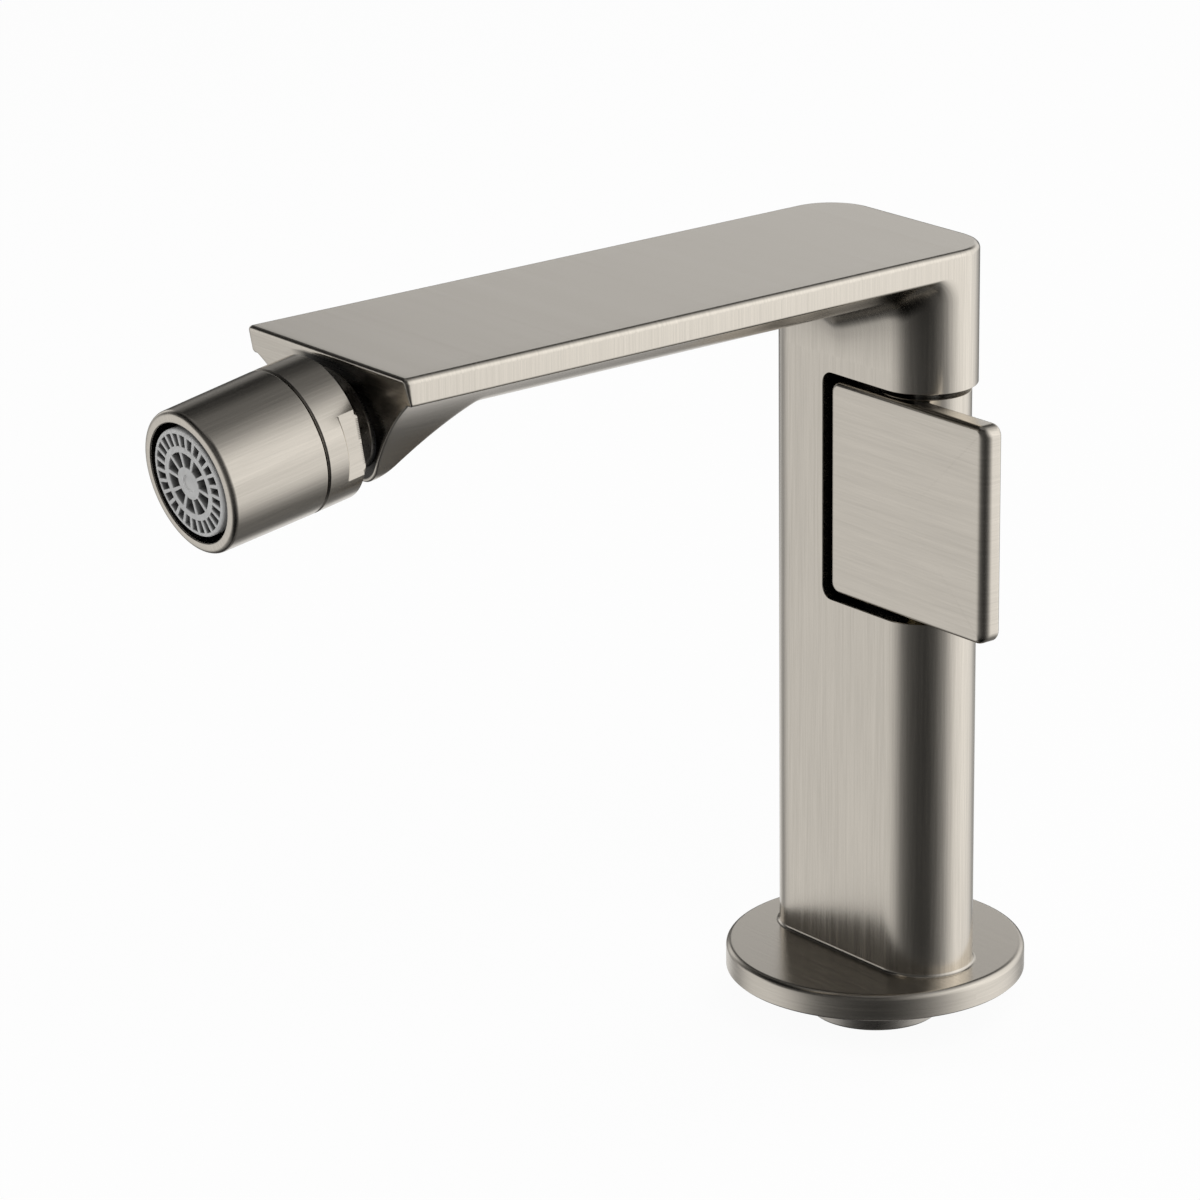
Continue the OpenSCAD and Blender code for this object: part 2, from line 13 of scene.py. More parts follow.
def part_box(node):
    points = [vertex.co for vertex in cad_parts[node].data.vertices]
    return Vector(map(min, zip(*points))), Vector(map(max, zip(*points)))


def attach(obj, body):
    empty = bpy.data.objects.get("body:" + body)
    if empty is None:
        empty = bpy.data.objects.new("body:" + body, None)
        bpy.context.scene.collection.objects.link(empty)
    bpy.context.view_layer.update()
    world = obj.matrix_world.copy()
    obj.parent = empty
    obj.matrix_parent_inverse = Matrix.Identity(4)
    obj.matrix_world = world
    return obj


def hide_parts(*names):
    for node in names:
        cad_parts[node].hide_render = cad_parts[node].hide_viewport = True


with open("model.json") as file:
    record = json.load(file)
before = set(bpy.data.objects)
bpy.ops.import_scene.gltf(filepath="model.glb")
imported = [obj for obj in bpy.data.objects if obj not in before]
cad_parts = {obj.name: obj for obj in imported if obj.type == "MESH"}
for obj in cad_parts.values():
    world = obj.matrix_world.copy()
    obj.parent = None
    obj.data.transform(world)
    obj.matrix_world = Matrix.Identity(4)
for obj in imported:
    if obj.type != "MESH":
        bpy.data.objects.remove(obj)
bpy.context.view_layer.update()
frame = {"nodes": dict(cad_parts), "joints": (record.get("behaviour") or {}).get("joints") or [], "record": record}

bl_info = {
    "name": "Bidet Mixer",
    "version": (1, 0, 0),
    "blender": (4, 5, 0),
    "location": "3D View > Sidebar > Mixer",
    "description": "Builds the visible pieces and finishes of a bidet mixer around its fixed frame",
    "category": "Object",
}

MM = 0.001
MERGE_DISTANCE = 2e-6
SHARP_ANGLE = math.radians(32)
FLAT_ANGLE = math.radians(15)
GRAIN_MAP = "grain"
# Per-point map: positive values make rounded edges glossier, negative values paint shade into recesses and
# hollows.
GLOSS_AND_SHADE_MAP = "polish"
OUTLET_SEGMENTS = 240
SLEEVE_GAP = 0.1 * MM

BODY_LOW, BODY_HIGH = (np.array(corner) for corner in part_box("body"))
PLATE_LOW, PLATE_HIGH = (np.array(corner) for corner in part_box("lever_plate"))
HUB_LOW, HUB_HIGH = (np.array(corner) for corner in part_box("lever_hub"))
FLANGE_HIGH = np.array(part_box("base_flange")[1])
SHANK_LOW, SHANK_HIGH = (np.array(corner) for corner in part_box("base_shank"))
SEAL_HIGH = np.array(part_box("deck_seal")[1])
SCREWS_LOW, SCREWS_HIGH = (np.array(corner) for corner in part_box("plate_screws"))
HOUSING_HIGH = np.array(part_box("outlet_housing")[1])
GRUB_LOW, GRUB_HIGH = (np.array(corner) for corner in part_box("spindle_grub_screw"))
MOUNTS = {mount["name"]: mount for mount in frame["record"]["mounts"]}
JOINTS = {joint["name"]: joint for joint in frame["joints"]}
FINISHES = {row["slot"]: row["base_color"] for row in frame["record"]["materials"]}
SLOT_OF = {row["node"]: row["material_slot"] for row in frame["record"]["subparts"]}


def length(label, words, value):
    """A size in metres that the sidebar shows."""
    return bpy.props.FloatProperty(name=label, description=words, default=value, unit="LENGTH", precision=5)


def angle(label, words, degrees):
    """An angle that the sidebar shows, given here in degrees."""
    return bpy.props.FloatProperty(name=label, description=words, default=math.radians(degrees),
                                   subtype="ANGLE")


def share(label, words, value):
    """A plain number from 0 to 1."""
    return bpy.props.FloatProperty(name=label, description=words, default=value, min=0, max=1,
                                   subtype="FACTOR")


def count(label, words, value):
    """A whole number of repeats."""
    return bpy.props.IntProperty(name=label, description=words, default=value, min=3)


def colour(label, words, value):
    """A colour in linear light."""
    return bpy.props.FloatVectorProperty(name=label, description=words, default=value, size=3, min=0, max=1,
                                         subtype="COLOR")


class MixerBodyShape(bpy.types.PropertyGroup):
    """Sizes of the one-piece column, head and spout."""

    rim_height: length("Rim height", "Straight side under the top face", 5.3 * MM)
    spout_depth: length("Spout depth", "From the top to the foot of the flanks behind the nose", 8.7 * MM)
    belly_angle: angle("Belly angle", "Slope of the underside from the flanks to its middle", 20)
    nose_depth: length("Nose depth", "From the top face to the nose's lowest point", 25 * MM)
    nose_radius: length("Nose radius", "Round bottom of the nose", 8.9 * MM)
    flank_radius: length("Flank radius", "Hollow flanks under the rim", 60 * MM)
    flank_angle: angle("Flank angle", "Slope of the flanks at the nose's round bottom", 57)
    keel_angle: angle("Keel angle", "Slope of the keel behind the nose", 50)
    face_lean: angle("Face lean", "Lean of the nose's front face from upright", 14)
    crease: length("Crease", "Softness of the ridges under the spout", 0.7 * MM)
    top_round: length("Top rounding", "Rounding of the top face's edge", 1.15 * MM)
    rim_round: length("Rim rounding", "Rounding of the rim's lower edge", 0.7 * MM)
    face_round: length("Face rounding", "Rounding of the front face's edge, top and sides", 0.9 * MM)
    under_round: length("Under rounding", "Rounding of the front face's edge below the rim", 0.4 * MM)
    neck_fillet: length("Neck fillet", "Hollow between the column and the spout", 4.6 * MM)
    foot_fillet: length("Foot fillet", "Hollow between the column and the flange", 0.7 * MM)
    pocket_gap: length("Pocket gap", "Between the lever's inner end and the pocket", 2.1 * MM)
    pocket_gap_z: length("Pocket gap in height", "Above and below the lever plate", 1.45 * MM)
    pocket_corner: length("Pocket corner", "Corner radius of the pocket", 2.4 * MM)
    pocket_depth: length("Pocket depth", "From the column's front to the pocket's floor", 5.5 * MM)
    pocket_round: length("Pocket rounding", "Rounding of the pocket's edge", 0.15 * MM)
    web_x: length("Web face", "Right face of the web behind the pocket", 6.0 * MM)
    hub_gap: length("Hub gap", "Between the hub and the web's hollow", 0.6 * MM)


class MixerLeverShape(bpy.types.PropertyGroup):
    """Sizes of the lever plate and its hub."""

    corner: length("Corner radius", "Round corners of the lever plate", 2.25 * MM)
    front_round: length("Front rounding", "Rounding of the plate's front edge", 1.2 * MM)
    grip_round: length("Grip rounding", "Rounding of the front edge at the outer end", 2.15 * MM)
    back_round: length("Back rounding", "Rounding of the plate's back edge", 1.1 * MM)
    hub_rise: length("Hub rise", "How far the hub's two ends stand above and below the plate", 0.12 * MM)
    hub_chamfer: length("Hub chamfer", "Broken edge of the hub's two ends", 0.06 * MM)
    plate_gap: length("Plate gap", "Between the plate's edges and the hub's two discs", 0.05 * MM)
    head_hole: length("Screw head hole", "Radius of the sunk hole of a plate screw", 3.55 * MM)
    head_radius: length("Screw head", "Radius of a plate screw's head", 3.5 * MM)
    head_seat: length("Screw head seat", "Distance of a screw head's seat behind the axis", 2.6 * MM)
    grub_hole: length("Grub screw hole", "Radius of the grub screw's hole", 2.05 * MM)


class MixerOutletShape(bpy.types.PropertyGroup):
    """Sizes of the ball-jointed outlet, measured along its axis from the nose."""

    ball_at: length("Ball centre", "Distance of the ball's centre from the nose", 12 * MM)
    ball_radius: length("Ball radius", "Radius of the ball", 8.8 * MM)
    radius: length("Outlet radius", "Radius of the collar and the housing", HOUSING_HIGH[0] - 0.01 * MM)
    wall: length("Wall", "Wall of the housing behind its mouth", 1.3 * MM)
    collar_start: length("Collar start", "Rear end of the collar", 4.3 * MM)
    seam_at: length("Seam", "Seam between the collar and the housing", 12.8 * MM)
    seam_width: length("Seam width", "Width of that seam", 0.3 * MM)
    front: length("Front", "Front rim of the housing", 33 * MM)
    flats: length("Spanner flats", "Distance across the collar's flats", 24 * MM)
    flats_length: length("Flats length", "Length of the flats", 3.8 * MM)
    seat_radius: length("Seat radius", "Recess in the nose round the nipple", 10 * MM)
    seat_at: length("Seat", "Depth of that recess", -0.8 * MM)
    neck_radius: length("Neck radius", "Neck between the nose and the ball", 4.4 * MM)
    front_radius: length("Front radius", "Radius of the housing's slightly smaller front", 13.2 * MM)
    mouth_radius: length("Mouth radius", "Open front of the housing", 11.1 * MM)
    insert_radius: length("Insert radius", "Radius of the aerator insert", 9.95 * MM)
    insert_front: length("Insert front", "Front face of the aerator insert", 32.95 * MM)
    grille: length("Grille", "Thickness of the insert's front", 2.5 * MM)
    outer_slots: count("Outer slots", "Slots in the insert's outer ring", 26)
    inner_slots: count("Inner slots", "Openings in the insert's inner ring", 10)


class MixerFinish(bpy.types.PropertyGroup):
    """Colours and finish of the surfaces."""

    nickel: colour("Brushed nickel", "Colour of the brushed pieces", (0.72, 0.668, 0.59))
    plain_nickel: colour("Plain nickel", "Colour of the unbrushed pieces", FINISHES["plain_nickel"])
    rough: share("Roughness", "Roughness of the brushed nickel", 0.23)
    stretch: share("Stretch", "How far the brushing stretches a highlight", 0.5)
    grey_plastic: colour("Grey plastic", "Colour of the aerator insert", FINISHES["grey_plastic"])


class MixerStage(bpy.types.PropertyGroup):
    """Camera, floor and light."""

    azimuth: angle("Azimuth", "Camera's turn from the front towards the lever", 51.382)
    elevation: angle("Elevation", "Camera's height above the horizon", 18.69)
    roll: angle("Roll", "Camera's turn about its own axis", -0.778)
    distance: length("Distance", "From the camera to the point it looks at", 996.1 * MM)
    aim_right: length("Aim right", "That point's distance to the camera's right", -53.56 * MM)
    aim_up: length("Aim up", "That point's height", 76.7 * MM)
    lens: bpy.props.FloatProperty(name="Lens", description="Focal length in millimetres", default=154.31)
    floor_drop: length("Floor drop", "Gap between the shank and the floor", 0.2 * MM)


Patch = namedtuple("Patch", "points grain polish keep")


def xyz(x, y, z):
    """Stacks three arrays that broadcast together into a grid of points."""
    return np.stack(np.broadcast_arrays(x, y, z), axis=-1).astype(float)


def patch(points, along, across, polish=0.0, keep=None):
    """One grid of points with its grain map: the distance along the brushing and across it."""
    size = points.shape[:2]
    grain = np.stack((np.broadcast_to(along, size), np.broadcast_to(across, size)), axis=-1)
    return Patch(points, grain, np.broadcast_to(polish, size), keep)


def joined(*parts):
    """Joins runs of samples end to end, leaving out each run's first sample where it repeats the last."""
    return np.concatenate([parts[0]] + [part[1:] for part in parts[1:]])


def quarter(steps):
    """Angles of a quarter turn from 0 to 90 degrees."""
    return np.linspace(0, math.pi / 2, steps + 1)


def stack_cells(patches):
    """The four corner numbers of every cell of every grid, leaving out cells that a grid doesn't keep."""
    cells = []
    first = 0
    for part in patches:
        rows, cols = part.points.shape[:2]
        number = first + np.arange(rows * cols).reshape(rows, cols)
        cell = np.stack((number[:-1, :-1], number[1:, :-1], number[1:, 1:], number[:-1, 1:]), axis=-1)
        cells.append(cell.reshape(-1, 4) if part.keep is None else cell[part.keep])
        first += rows * cols
    return np.concatenate(cells)


def close_seams(mesh):
    """Merges the points that neighbouring grids share, turns the faces outwards and counts open edges."""
    work = bmesh.new()
    work.from_mesh(mesh)
    bmesh.ops.remove_doubles(work, verts=work.verts, dist=MERGE_DISTANCE)
    bmesh.ops.dissolve_degenerate(work, dist=MERGE_DISTANCE, edges=work.edges)
    bmesh.ops.recalc_face_normals(work, faces=work.faces)
    loose = sum(1 for edge in work.edges if not edge.is_manifold)
    work.to_mesh(mesh)
    work.free()
    return loose


def make_piece(name, patches, material, body, node, sharp=SHARP_ANGLE):
    """Joins grids into one closed piece with its grain map, which stands for a node and rides on its body."""
    cells = stack_cells(patches)
    points = np.concatenate([part.points.reshape(-1, 3) for part in patches])
    grain = np.concatenate([part.grain.reshape(-1, 2) for part in patches])
    polish = np.concatenate([part.polish.reshape(-1) for part in patches])
    mesh = bpy.data.meshes.new(name)
    mesh.from_pydata(points.tolist(), [], cells.tolist())
    mesh.uv_layers.new(name=GRAIN_MAP).data.foreach_set("uv", grain[cells].astype(np.float32).ravel())
    # Negative values of this map paint shade into the colour; positive ones only lower the roughness.
    gloss_and_shade_layer = mesh.attributes.new(GLOSS_AND_SHADE_MAP, "FLOAT", "POINT")
    gloss_and_shade_layer.data.foreach_set("value", polish.astype(np.float32))
    loose = close_seams(mesh)
    if loose:
        print(f"{name}: {loose} open edges")
    mesh.polygons.foreach_set("use_smooth", np.ones(len(mesh.polygons), bool))
    mesh.set_sharp_from_angle(angle=sharp)
    mesh.materials.append(material)
    piece = bpy.data.objects.new(name, mesh)
    bpy.context.scene.collection.objects.link(piece)
    flatten = piece.modifiers.new("face_normals", "WEIGHTED_NORMAL")
    flatten.keep_sharp = True
    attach(piece, body)
    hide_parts(node)
    return piece


def round_corners(corners, steps=5):
    """A closed outline through corners of (u, v, radius): each becomes an arc that touches both its sides."""
    spots = np.array([corner[:2] for corner in corners], float)
    runs = []
    for spot, before, after, corner in zip(spots, np.roll(spots, 1, 0), np.roll(spots, -1, 0), corners):
        radius = corner[2] if len(corner) > 2 else 0.0
        if radius == 0:
            runs.append(spot[None])
            continue
        back = (before - spot) / np.linalg.norm(before - spot)
        ahead = (after - spot) / np.linalg.norm(after - spot)
        half = math.acos(np.clip(back @ ahead, -1, 1)) / 2
        middle = spot + (back + ahead) / np.linalg.norm(back + ahead) * radius / math.sin(half)
        start = spot + back * radius / math.tan(half) - middle
        stop = spot + ahead * radius / math.tan(half) - middle
        sweep = math.pi - 2 * half
        along = np.linspace(0, 1, steps + 1)[:, None]
        runs.append(middle + (np.sin((1 - along) * sweep) * start + np.sin(along * sweep) * stop)
                    / math.sin(sweep))
    outline = np.concatenate(runs)
    return np.concatenate((outline, outline[:1]))


def run_length(outline):
    """Distance along a polyline at each of its points."""
    steps = np.linalg.norm(np.diff(outline, axis=0), axis=1)
    return np.concatenate(([0.0], np.cumsum(steps)))


def eased(value, start, stop):
    """0 before start and 1 after stop, with a smooth step between; start may be the larger."""
    part = np.clip((value - start) / (stop - start), 0, 1)
    return part * part * (3 - 2 * part)


class Axis:
    """A straight axis with two directions across it, on which round pieces are turned."""

    def __init__(self, origin, across, up, along):
        self.origin = np.array(origin, float)
        self.across = np.array(across, float)
        self.up = np.array(up, float)
        self.along = np.array(along, float)

    def place(self, x, y, s):
        """Points at x and y across the axis and s along it."""
        x, y, s = np.broadcast_arrays(x, y, s)
        return (self.origin + x[..., None] * self.across + y[..., None] * self.up
                + s[..., None] * self.along)

    def ring(self, radius, turn, s):
        """Points at a radius and a turn round the axis and s along it."""
        return self.place(radius * np.cos(turn), radius * np.sin(turn), s)

    def turned(self, profile, segments, round_grain=False, polish=0.0):
        """Surface of revolution: each (radius, distance) of the profile swept through a full turn."""
        turn = np.linspace(0, 2 * math.pi, segments + 1)[:, None]
        points = self.ring(profile[:, 0], turn, profile[:, 1])
        along = np.broadcast_to(run_length(profile), points.shape[:2])
        across = turn * profile[:, 0].max() + 0 * along
        if round_grain:
            along, across = across, along
        return patch(points, along, across, polish=polish)


def upright(x, y):
    """An upright axis through a point of the deck plane."""
    return Axis((x, y, 0), (1, 0, 0), (0, 1, 0), (0, 0, 1))


def outlet_axis(shape):
    """The outlet's own axis, through the ball's centre, with its zero on the nose's front face."""
    along = np.array(JOINTS["outlet_spin"]["axis"], float)
    up = np.array(JOINTS["outlet_pan"]["axis"], float)
    ball = np.array(JOINTS["outlet_spin"]["pos_m"], float)
    return Axis(ball - shape.ball_at * along, (1, 0, 0), up, along)


class BodySurface:
    """Works out the grids of the column, its pocket, the head, the spout and the nose."""

    ROUND_STEPS = 24
    CORNER_STEPS = 5
    EDGE_STEPS = 5
    NECK_STEPS = 8
    FORWARD_STEPS = (4, 90, 14, 24)
    TAIL_STEPS = 11
    FINE = 0.5 * MM
    HEAD_RISE = 3.5 * MM
    SIDE_GRAIN = 5
    TOP_GRAIN = (0.2, 0.42)

    def __init__(self, shape, outlet):
        self.shape = shape
        self.outlet = outlet
        self.half_w = BODY_HIGH[0]
        self.radius = BODY_HIGH[1]
        self.top = BODY_HIGH[2]
        self.foot = BODY_LOW[2]
        self.reach = -BODY_LOW[1]
        self.end_x = self.half_w - self.radius
        bend, face = 0.5 * math.pi * self.radius, 2 * self.end_x
        self.turns = np.cumsum([0, bend, face, bend, bend, face, bend])
        self.left = bend + PLATE_LOW[0] - shape.pocket_gap + self.end_x
        self.right = self.turns[4] + self.end_x - shape.web_x
        self.low = PLATE_LOW[2] - shape.pocket_gap_z
        self.high = PLATE_HIGH[2] + shape.pocket_gap_z
        self.head = self.high + self.HEAD_RISE
        self.sample()

    def outline(self, p):
        """The column's outline at the distance p along it, from the middle of the left end by the front: the
        centre slides along the straight faces, and the normal turns round the ends."""
        turns = self.turns
        turned = (np.clip(p, turns[0], turns[1]) - turns[0] + np.clip(p, turns[2], turns[4]) - turns[2]
                  + np.clip(p, turns[5], turns[6]) - turns[5])
        slid = np.clip(p, turns[1], turns[2]) - turns[1] - np.clip(p, turns[4], turns[5]) + turns[4]
        heading = math.pi + turned / self.radius
        nx, ny = np.cos(heading), np.sin(heading)
        return slid - self.end_x + self.radius * nx, self.radius * ny, nx, ny

    def skin(self, p, z, out=0.0):
        """Points on the column's side at outline distance p and height z, moved out along the normal."""
        x, y, nx, ny = self.outline(p)
        return xyz(x + nx * out, y + ny * out, z)

    def flank(self, x):
        """Depth of the nose's section at x: flat under the rim, then a hollow arc, then the round bottom."""
        shape = self.shape
        x = np.abs(x)
        bottom = shape.nose_depth - shape.nose_radius
        arc_x, arc_h = self.flank_middle()
        hollow = arc_h - np.sqrt(np.maximum(shape.flank_radius ** 2 - (arc_x - x) ** 2, 0))
        ball = bottom + np.sqrt(np.maximum(shape.nose_radius ** 2 - x ** 2, 0))
        edge = np.clip(x - self.half_w + shape.rim_round, 0, shape.rim_round)
        rim = shape.rim_height - shape.rim_round + np.sqrt(shape.rim_round ** 2 - edge ** 2)
        return np.where(x < shape.nose_radius * math.sin(shape.flank_angle), ball, np.maximum(hollow, rim))

    def flank_middle(self):
        """Centre of a hollow flank, as half width and depth."""
        shape = self.shape
        both = shape.nose_radius + shape.flank_radius
        bottom = shape.nose_depth - shape.nose_radius
        return both * math.sin(shape.flank_angle), bottom + both * math.cos(shape.flank_angle)

    def depth(self, x, y):
        """Depth of the spout's underside: the larger of the keel's slope and the shallow ridge, then the
        smaller of that and the flank, each with a soft crease between."""
        shape = self.shape
        keel = shape.nose_depth - (y - self.face_y(shape.nose_depth)) * math.tan(shape.keel_angle)
        arc_x, arc_h = self.flank_middle()
        foot_x = arc_x - math.sqrt(shape.flank_radius ** 2 - (arc_h - shape.spout_depth) ** 2)
        belly = shape.spout_depth + (foot_x - np.sqrt(x ** 2 + MM ** 2)) * math.tan(shape.belly_angle)
        under = 0.5 * (keel + belly + np.sqrt((keel - belly) ** 2 + shape.crease ** 2))
        flank = self.flank(x)
        return 0.5 * (flank + under - np.sqrt((flank - under) ** 2 + (0.6 * shape.crease) ** 2))

    def face_y(self, depth):
        """Y of the leaning front face at a depth below the top."""
        return -self.reach + depth * math.tan(self.shape.face_lean)

    def sample(self):
        """Samples along the outline and up the column, close where the surface bends."""
        shape, turns, steps = self.shape, self.turns, self.ROUND_STEPS
        edge, corner = shape.pocket_round, shape.pocket_corner
        hub_clear = HUB_HIGH[1] + shape.hub_gap
        self.floor_y = -self.radius + shape.pocket_depth
        floor_end = self.end_x - math.sqrt(hub_clear ** 2 - self.floor_y ** 2)
        self.floor_p = turns[1] + self.end_x + floor_end
        web_y = math.sqrt(hub_clear ** 2 - (self.end_x - shape.web_x) ** 2)
        self.web_turn = (math.atan2(self.floor_y, floor_end - self.end_x) % (2 * math.pi),
                         math.atan2(web_y, shape.web_x - self.end_x))
        self.hub_clear = hub_clear

        def fine(start, stop):
            return np.linspace(start, stop, int((stop - start) / self.FINE) + 2)

        self.p_left = joined(np.linspace(turns[0], turns[1], steps + 1), fine(turns[1], self.left - edge))
        corner_run = np.linspace(self.left - edge, self.left + corner, self.CORNER_STEPS + 1)
        self.p_edge = joined(fine(self.left + corner, self.floor_p), fine(self.floor_p, turns[2]),
                             np.linspace(turns[2], turns[3], steps + 1),
                             np.linspace(turns[3], turns[4], steps + 1),
                             np.linspace(turns[4], self.right, 4)[:-1])
        self.p_window = np.concatenate((corner_run[:-1], self.p_edge, [self.right + edge]))
        self.p_rear = joined(np.linspace(self.right + edge, turns[5], 7),
                             np.linspace(turns[5], turns[6], steps + 1))
        self.inner = np.linspace(0, 1, 5)
        self.z_mid = self.low + corner + self.inner * (self.high - self.low - 2 * corner)
        bend = quarter(self.EDGE_STEPS)[::-1]
        fillet = shape.foot_fillet
        self.z_low = np.concatenate((self.foot + fillet * (1 - np.sin(bend)),
                                     np.linspace(self.foot + fillet, self.low - edge, 9)[1:]))
        self.out_low = np.concatenate((fillet * (1 - np.cos(bend)), np.zeros(8)))
        self.z_high = np.linspace(self.high + edge, self.head, 4)

    def column(self):
        """The column's side in four grids round the pocket's window, with a hollow foot, and the base."""
        edge = self.shape.pocket_round
        window_low, window_high = self.low - edge, self.high + edge
        rows = np.concatenate((self.z_low, self.z_mid, self.z_high))
        out = np.concatenate((self.out_low, np.zeros(len(rows) - len(self.out_low))))
        collapsed = self.low + self.inner * (self.high - self.low)
        collapsed[0], collapsed[-1] = window_low, window_high
        rear_rows = np.concatenate((self.z_low, collapsed, self.z_high))
        fade = (self.p_rear - self.p_rear[0]) / (self.p_rear[-1] - self.p_rear[0])
        rear_z = rear_rows + fade[:, None] * (rows - rear_rows)
        made = []
        for p, z, moved in ((self.p_left, rows, out), (self.p_rear, rear_z, out),
                            (self.p_window, self.z_low, self.out_low), (self.p_window, self.z_high, 0.0)):
            grid = self.skin(p[:, None], np.broadcast_to(z, (len(p), z.shape[-1])), moved)
            made.append(patch(grid, grid[..., 2], p[:, None]))
        ring = joined(self.p_left, self.p_window, self.p_rear)
        base = self.skin(ring, self.foot, self.shape.foot_fillet)
        fan = base[:, None] * np.array([1, 0])[:, None] + np.array([0, 0, self.foot]) * [[0], [1]]
        fan[..., 2] = self.foot
        made.append(patch(fan, fan[..., 0], fan[..., 1]))
        return made + self.window_corners()

    def window_corners(self):
        """The two flat fillers between the window's round corners and the square that the grids leave."""
        edge, corner = self.shape.pocket_round, self.shape.pocket_corner
        run = self.p_window[:self.CORNER_STEPS + 1]
        turn = math.pi + quarter(self.CORNER_STEPS + 1)
        arc_p = self.left + corner + (corner + edge) * np.cos(turn)
        arc_z = self.low + corner + (corner + edge) * np.sin(turn)
        side_p = np.concatenate(([run[0]], run))
        side_z = np.concatenate(([self.low + corner], np.full(len(run), self.low - edge)))
        made = []
        for z_arc, z_side in ((arc_z, side_z), (self.low + self.high - arc_z, self.low + self.high - side_z)):
            grid = self.skin(np.stack((arc_p, side_p)), np.stack((z_arc, z_side)))
            made.append(patch(grid, grid[..., 2], np.stack((arc_p, side_p))))
        return made

    def window_path(self):
        """The window's outline as outline distance, height and the direction away from the window."""
        corner = self.shape.pocket_corner
        turn = math.pi + quarter(self.CORNER_STEPS + 1)
        arc = np.stack((self.left + corner + corner * np.cos(turn), self.low + corner + corner * np.sin(turn),
                        np.cos(turn), np.sin(turn)))
        run = self.p_edge[1:]
        bottom = np.stack((run, np.full_like(run, self.low), 0 * run, np.full_like(run, -1.0)))
        knee = np.array([[self.right], [self.low], [1.0], [-1.0]])
        lower = np.concatenate((arc, bottom, knee), axis=1)
        upper = lower[:, ::-1].copy()
        upper[1] = self.low + self.high - upper[1]
        upper[3] = -upper[3]
        rise = self.low + self.inner[1:-1] * (self.high - self.low)
        right = np.stack((np.full_like(rise, self.right), rise, 1 + 0 * rise, 0 * rise))
        fall = self.z_mid[1:-1][::-1]
        left = np.stack((np.full_like(fall, self.left), fall, -1 + 0 * fall, 0 * fall))
        return lower, np.concatenate((lower, right, upper, left, lower[:, :1]), axis=1)

    def inward(self, p):
        """Where the pocket's walls end: its floor at first, then the hollow round the hub."""
        x = p - self.turns[1] - self.end_x
        part = np.clip((p - self.floor_p) / (self.right - self.floor_p), 0, 1)
        turn = self.web_turn[0] + part * (self.web_turn[1] - self.web_turn[0])
        on_floor = p <= self.floor_p
        return (np.where(on_floor, x, self.end_x + self.hub_clear * np.cos(turn)),
                np.where(on_floor, self.floor_y, self.hub_clear * np.sin(turn)))

    def pocket(self):
        """The pocket: a rounded edge along the window, walls inwards, and the floor and hollow web behind."""
        edge = self.shape.pocket_round
        lower, path = self.window_path()
        p, z, away_p, away_z = path
        bend = quarter(self.EDGE_STEPS)[:, None]
        shift = edge * (1 - np.sin(bend))
        rounding = self.skin(p + away_p * shift, z + away_z * shift, -edge * (1 - np.cos(bend)))
        run = run_length(np.stack((p, z), axis=1))
        made = [patch(rounding, edge * bend, run, polish=np.sin(2 * bend))]
        x, y = self.inward(p)
        part = np.linspace(0, 1, 4)[:, None, None]
        walls = rounding[-1] * (1 - part) + xyz(x, y, z) * part
        # Painted shade: the walls darken inwards from the window's edge.
        made.append(patch(walls, 6 * MM * part[..., 0], run, polish=-np.minimum(1, 3 * part[..., 0])))
        p, z = lower[:2]
        x, y = self.inward(p)
        rows = self.inner[:, None]
        web = xyz(x, y, z + rows * (self.low + self.high - 2 * z))
        # Painted shade: the floor and the web behind are painted fully dark.
        made.append(patch(web, web[..., 2], p, polish=-1.0))
        return made

    def forward(self, x, start, end):
        """Y samples from start to end for each x: even ones along the spout, and closer ones at the crease
        where the keel's slope meets the flank, so that the crease runs along the grid."""
        shape = self.shape
        neck_gap, nose_gap, crease_run = 0.5 * MM, 0.6 * MM, 5 * MM
        near = np.full_like(x, -(self.radius + shape.neck_fillet + neck_gap))
        crease = self.face_y(shape.nose_depth)
        crease = crease + (shape.nose_depth - self.flank(x)) / math.tan(shape.keel_angle)
        crease = np.maximum(crease, end + nose_gap)
        knots = (start, near, crease + crease_run, crease, end)
        runs = [np.linspace(knots[at], knots[at + 1], steps + 1, axis=-1)[..., 1:]
                for at, steps in enumerate(self.FORWARD_STEPS)]
        return np.concatenate(runs, axis=-1)

    def hollow_shade(self, x, root, wall, ahead):
        """Shade of the hollow under the head: it grows up the column's wall and round the fillet, fades
        forward from the fillet's end at the y called root, and fades towards both sides."""
        depth, full_run, fade_run, side_run = 0.8, 2 * MM, 48 * MM, 3 * MM
        rise = np.broadcast_to([0, 0.08, 0.2, 0.4], wall.shape)
        turn = np.broadcast_to(np.linspace(0.4, 1, self.NECK_STEPS + 1)[1:], (len(x), self.NECK_STEPS))
        run = eased(ahead, (root - fade_run)[:, None], (root - full_run)[:, None])
        shade = np.concatenate((rise, turn, run), axis=1)
        return -depth * shade * eased(self.half_w - np.abs(x), 0, side_run)[:, None]

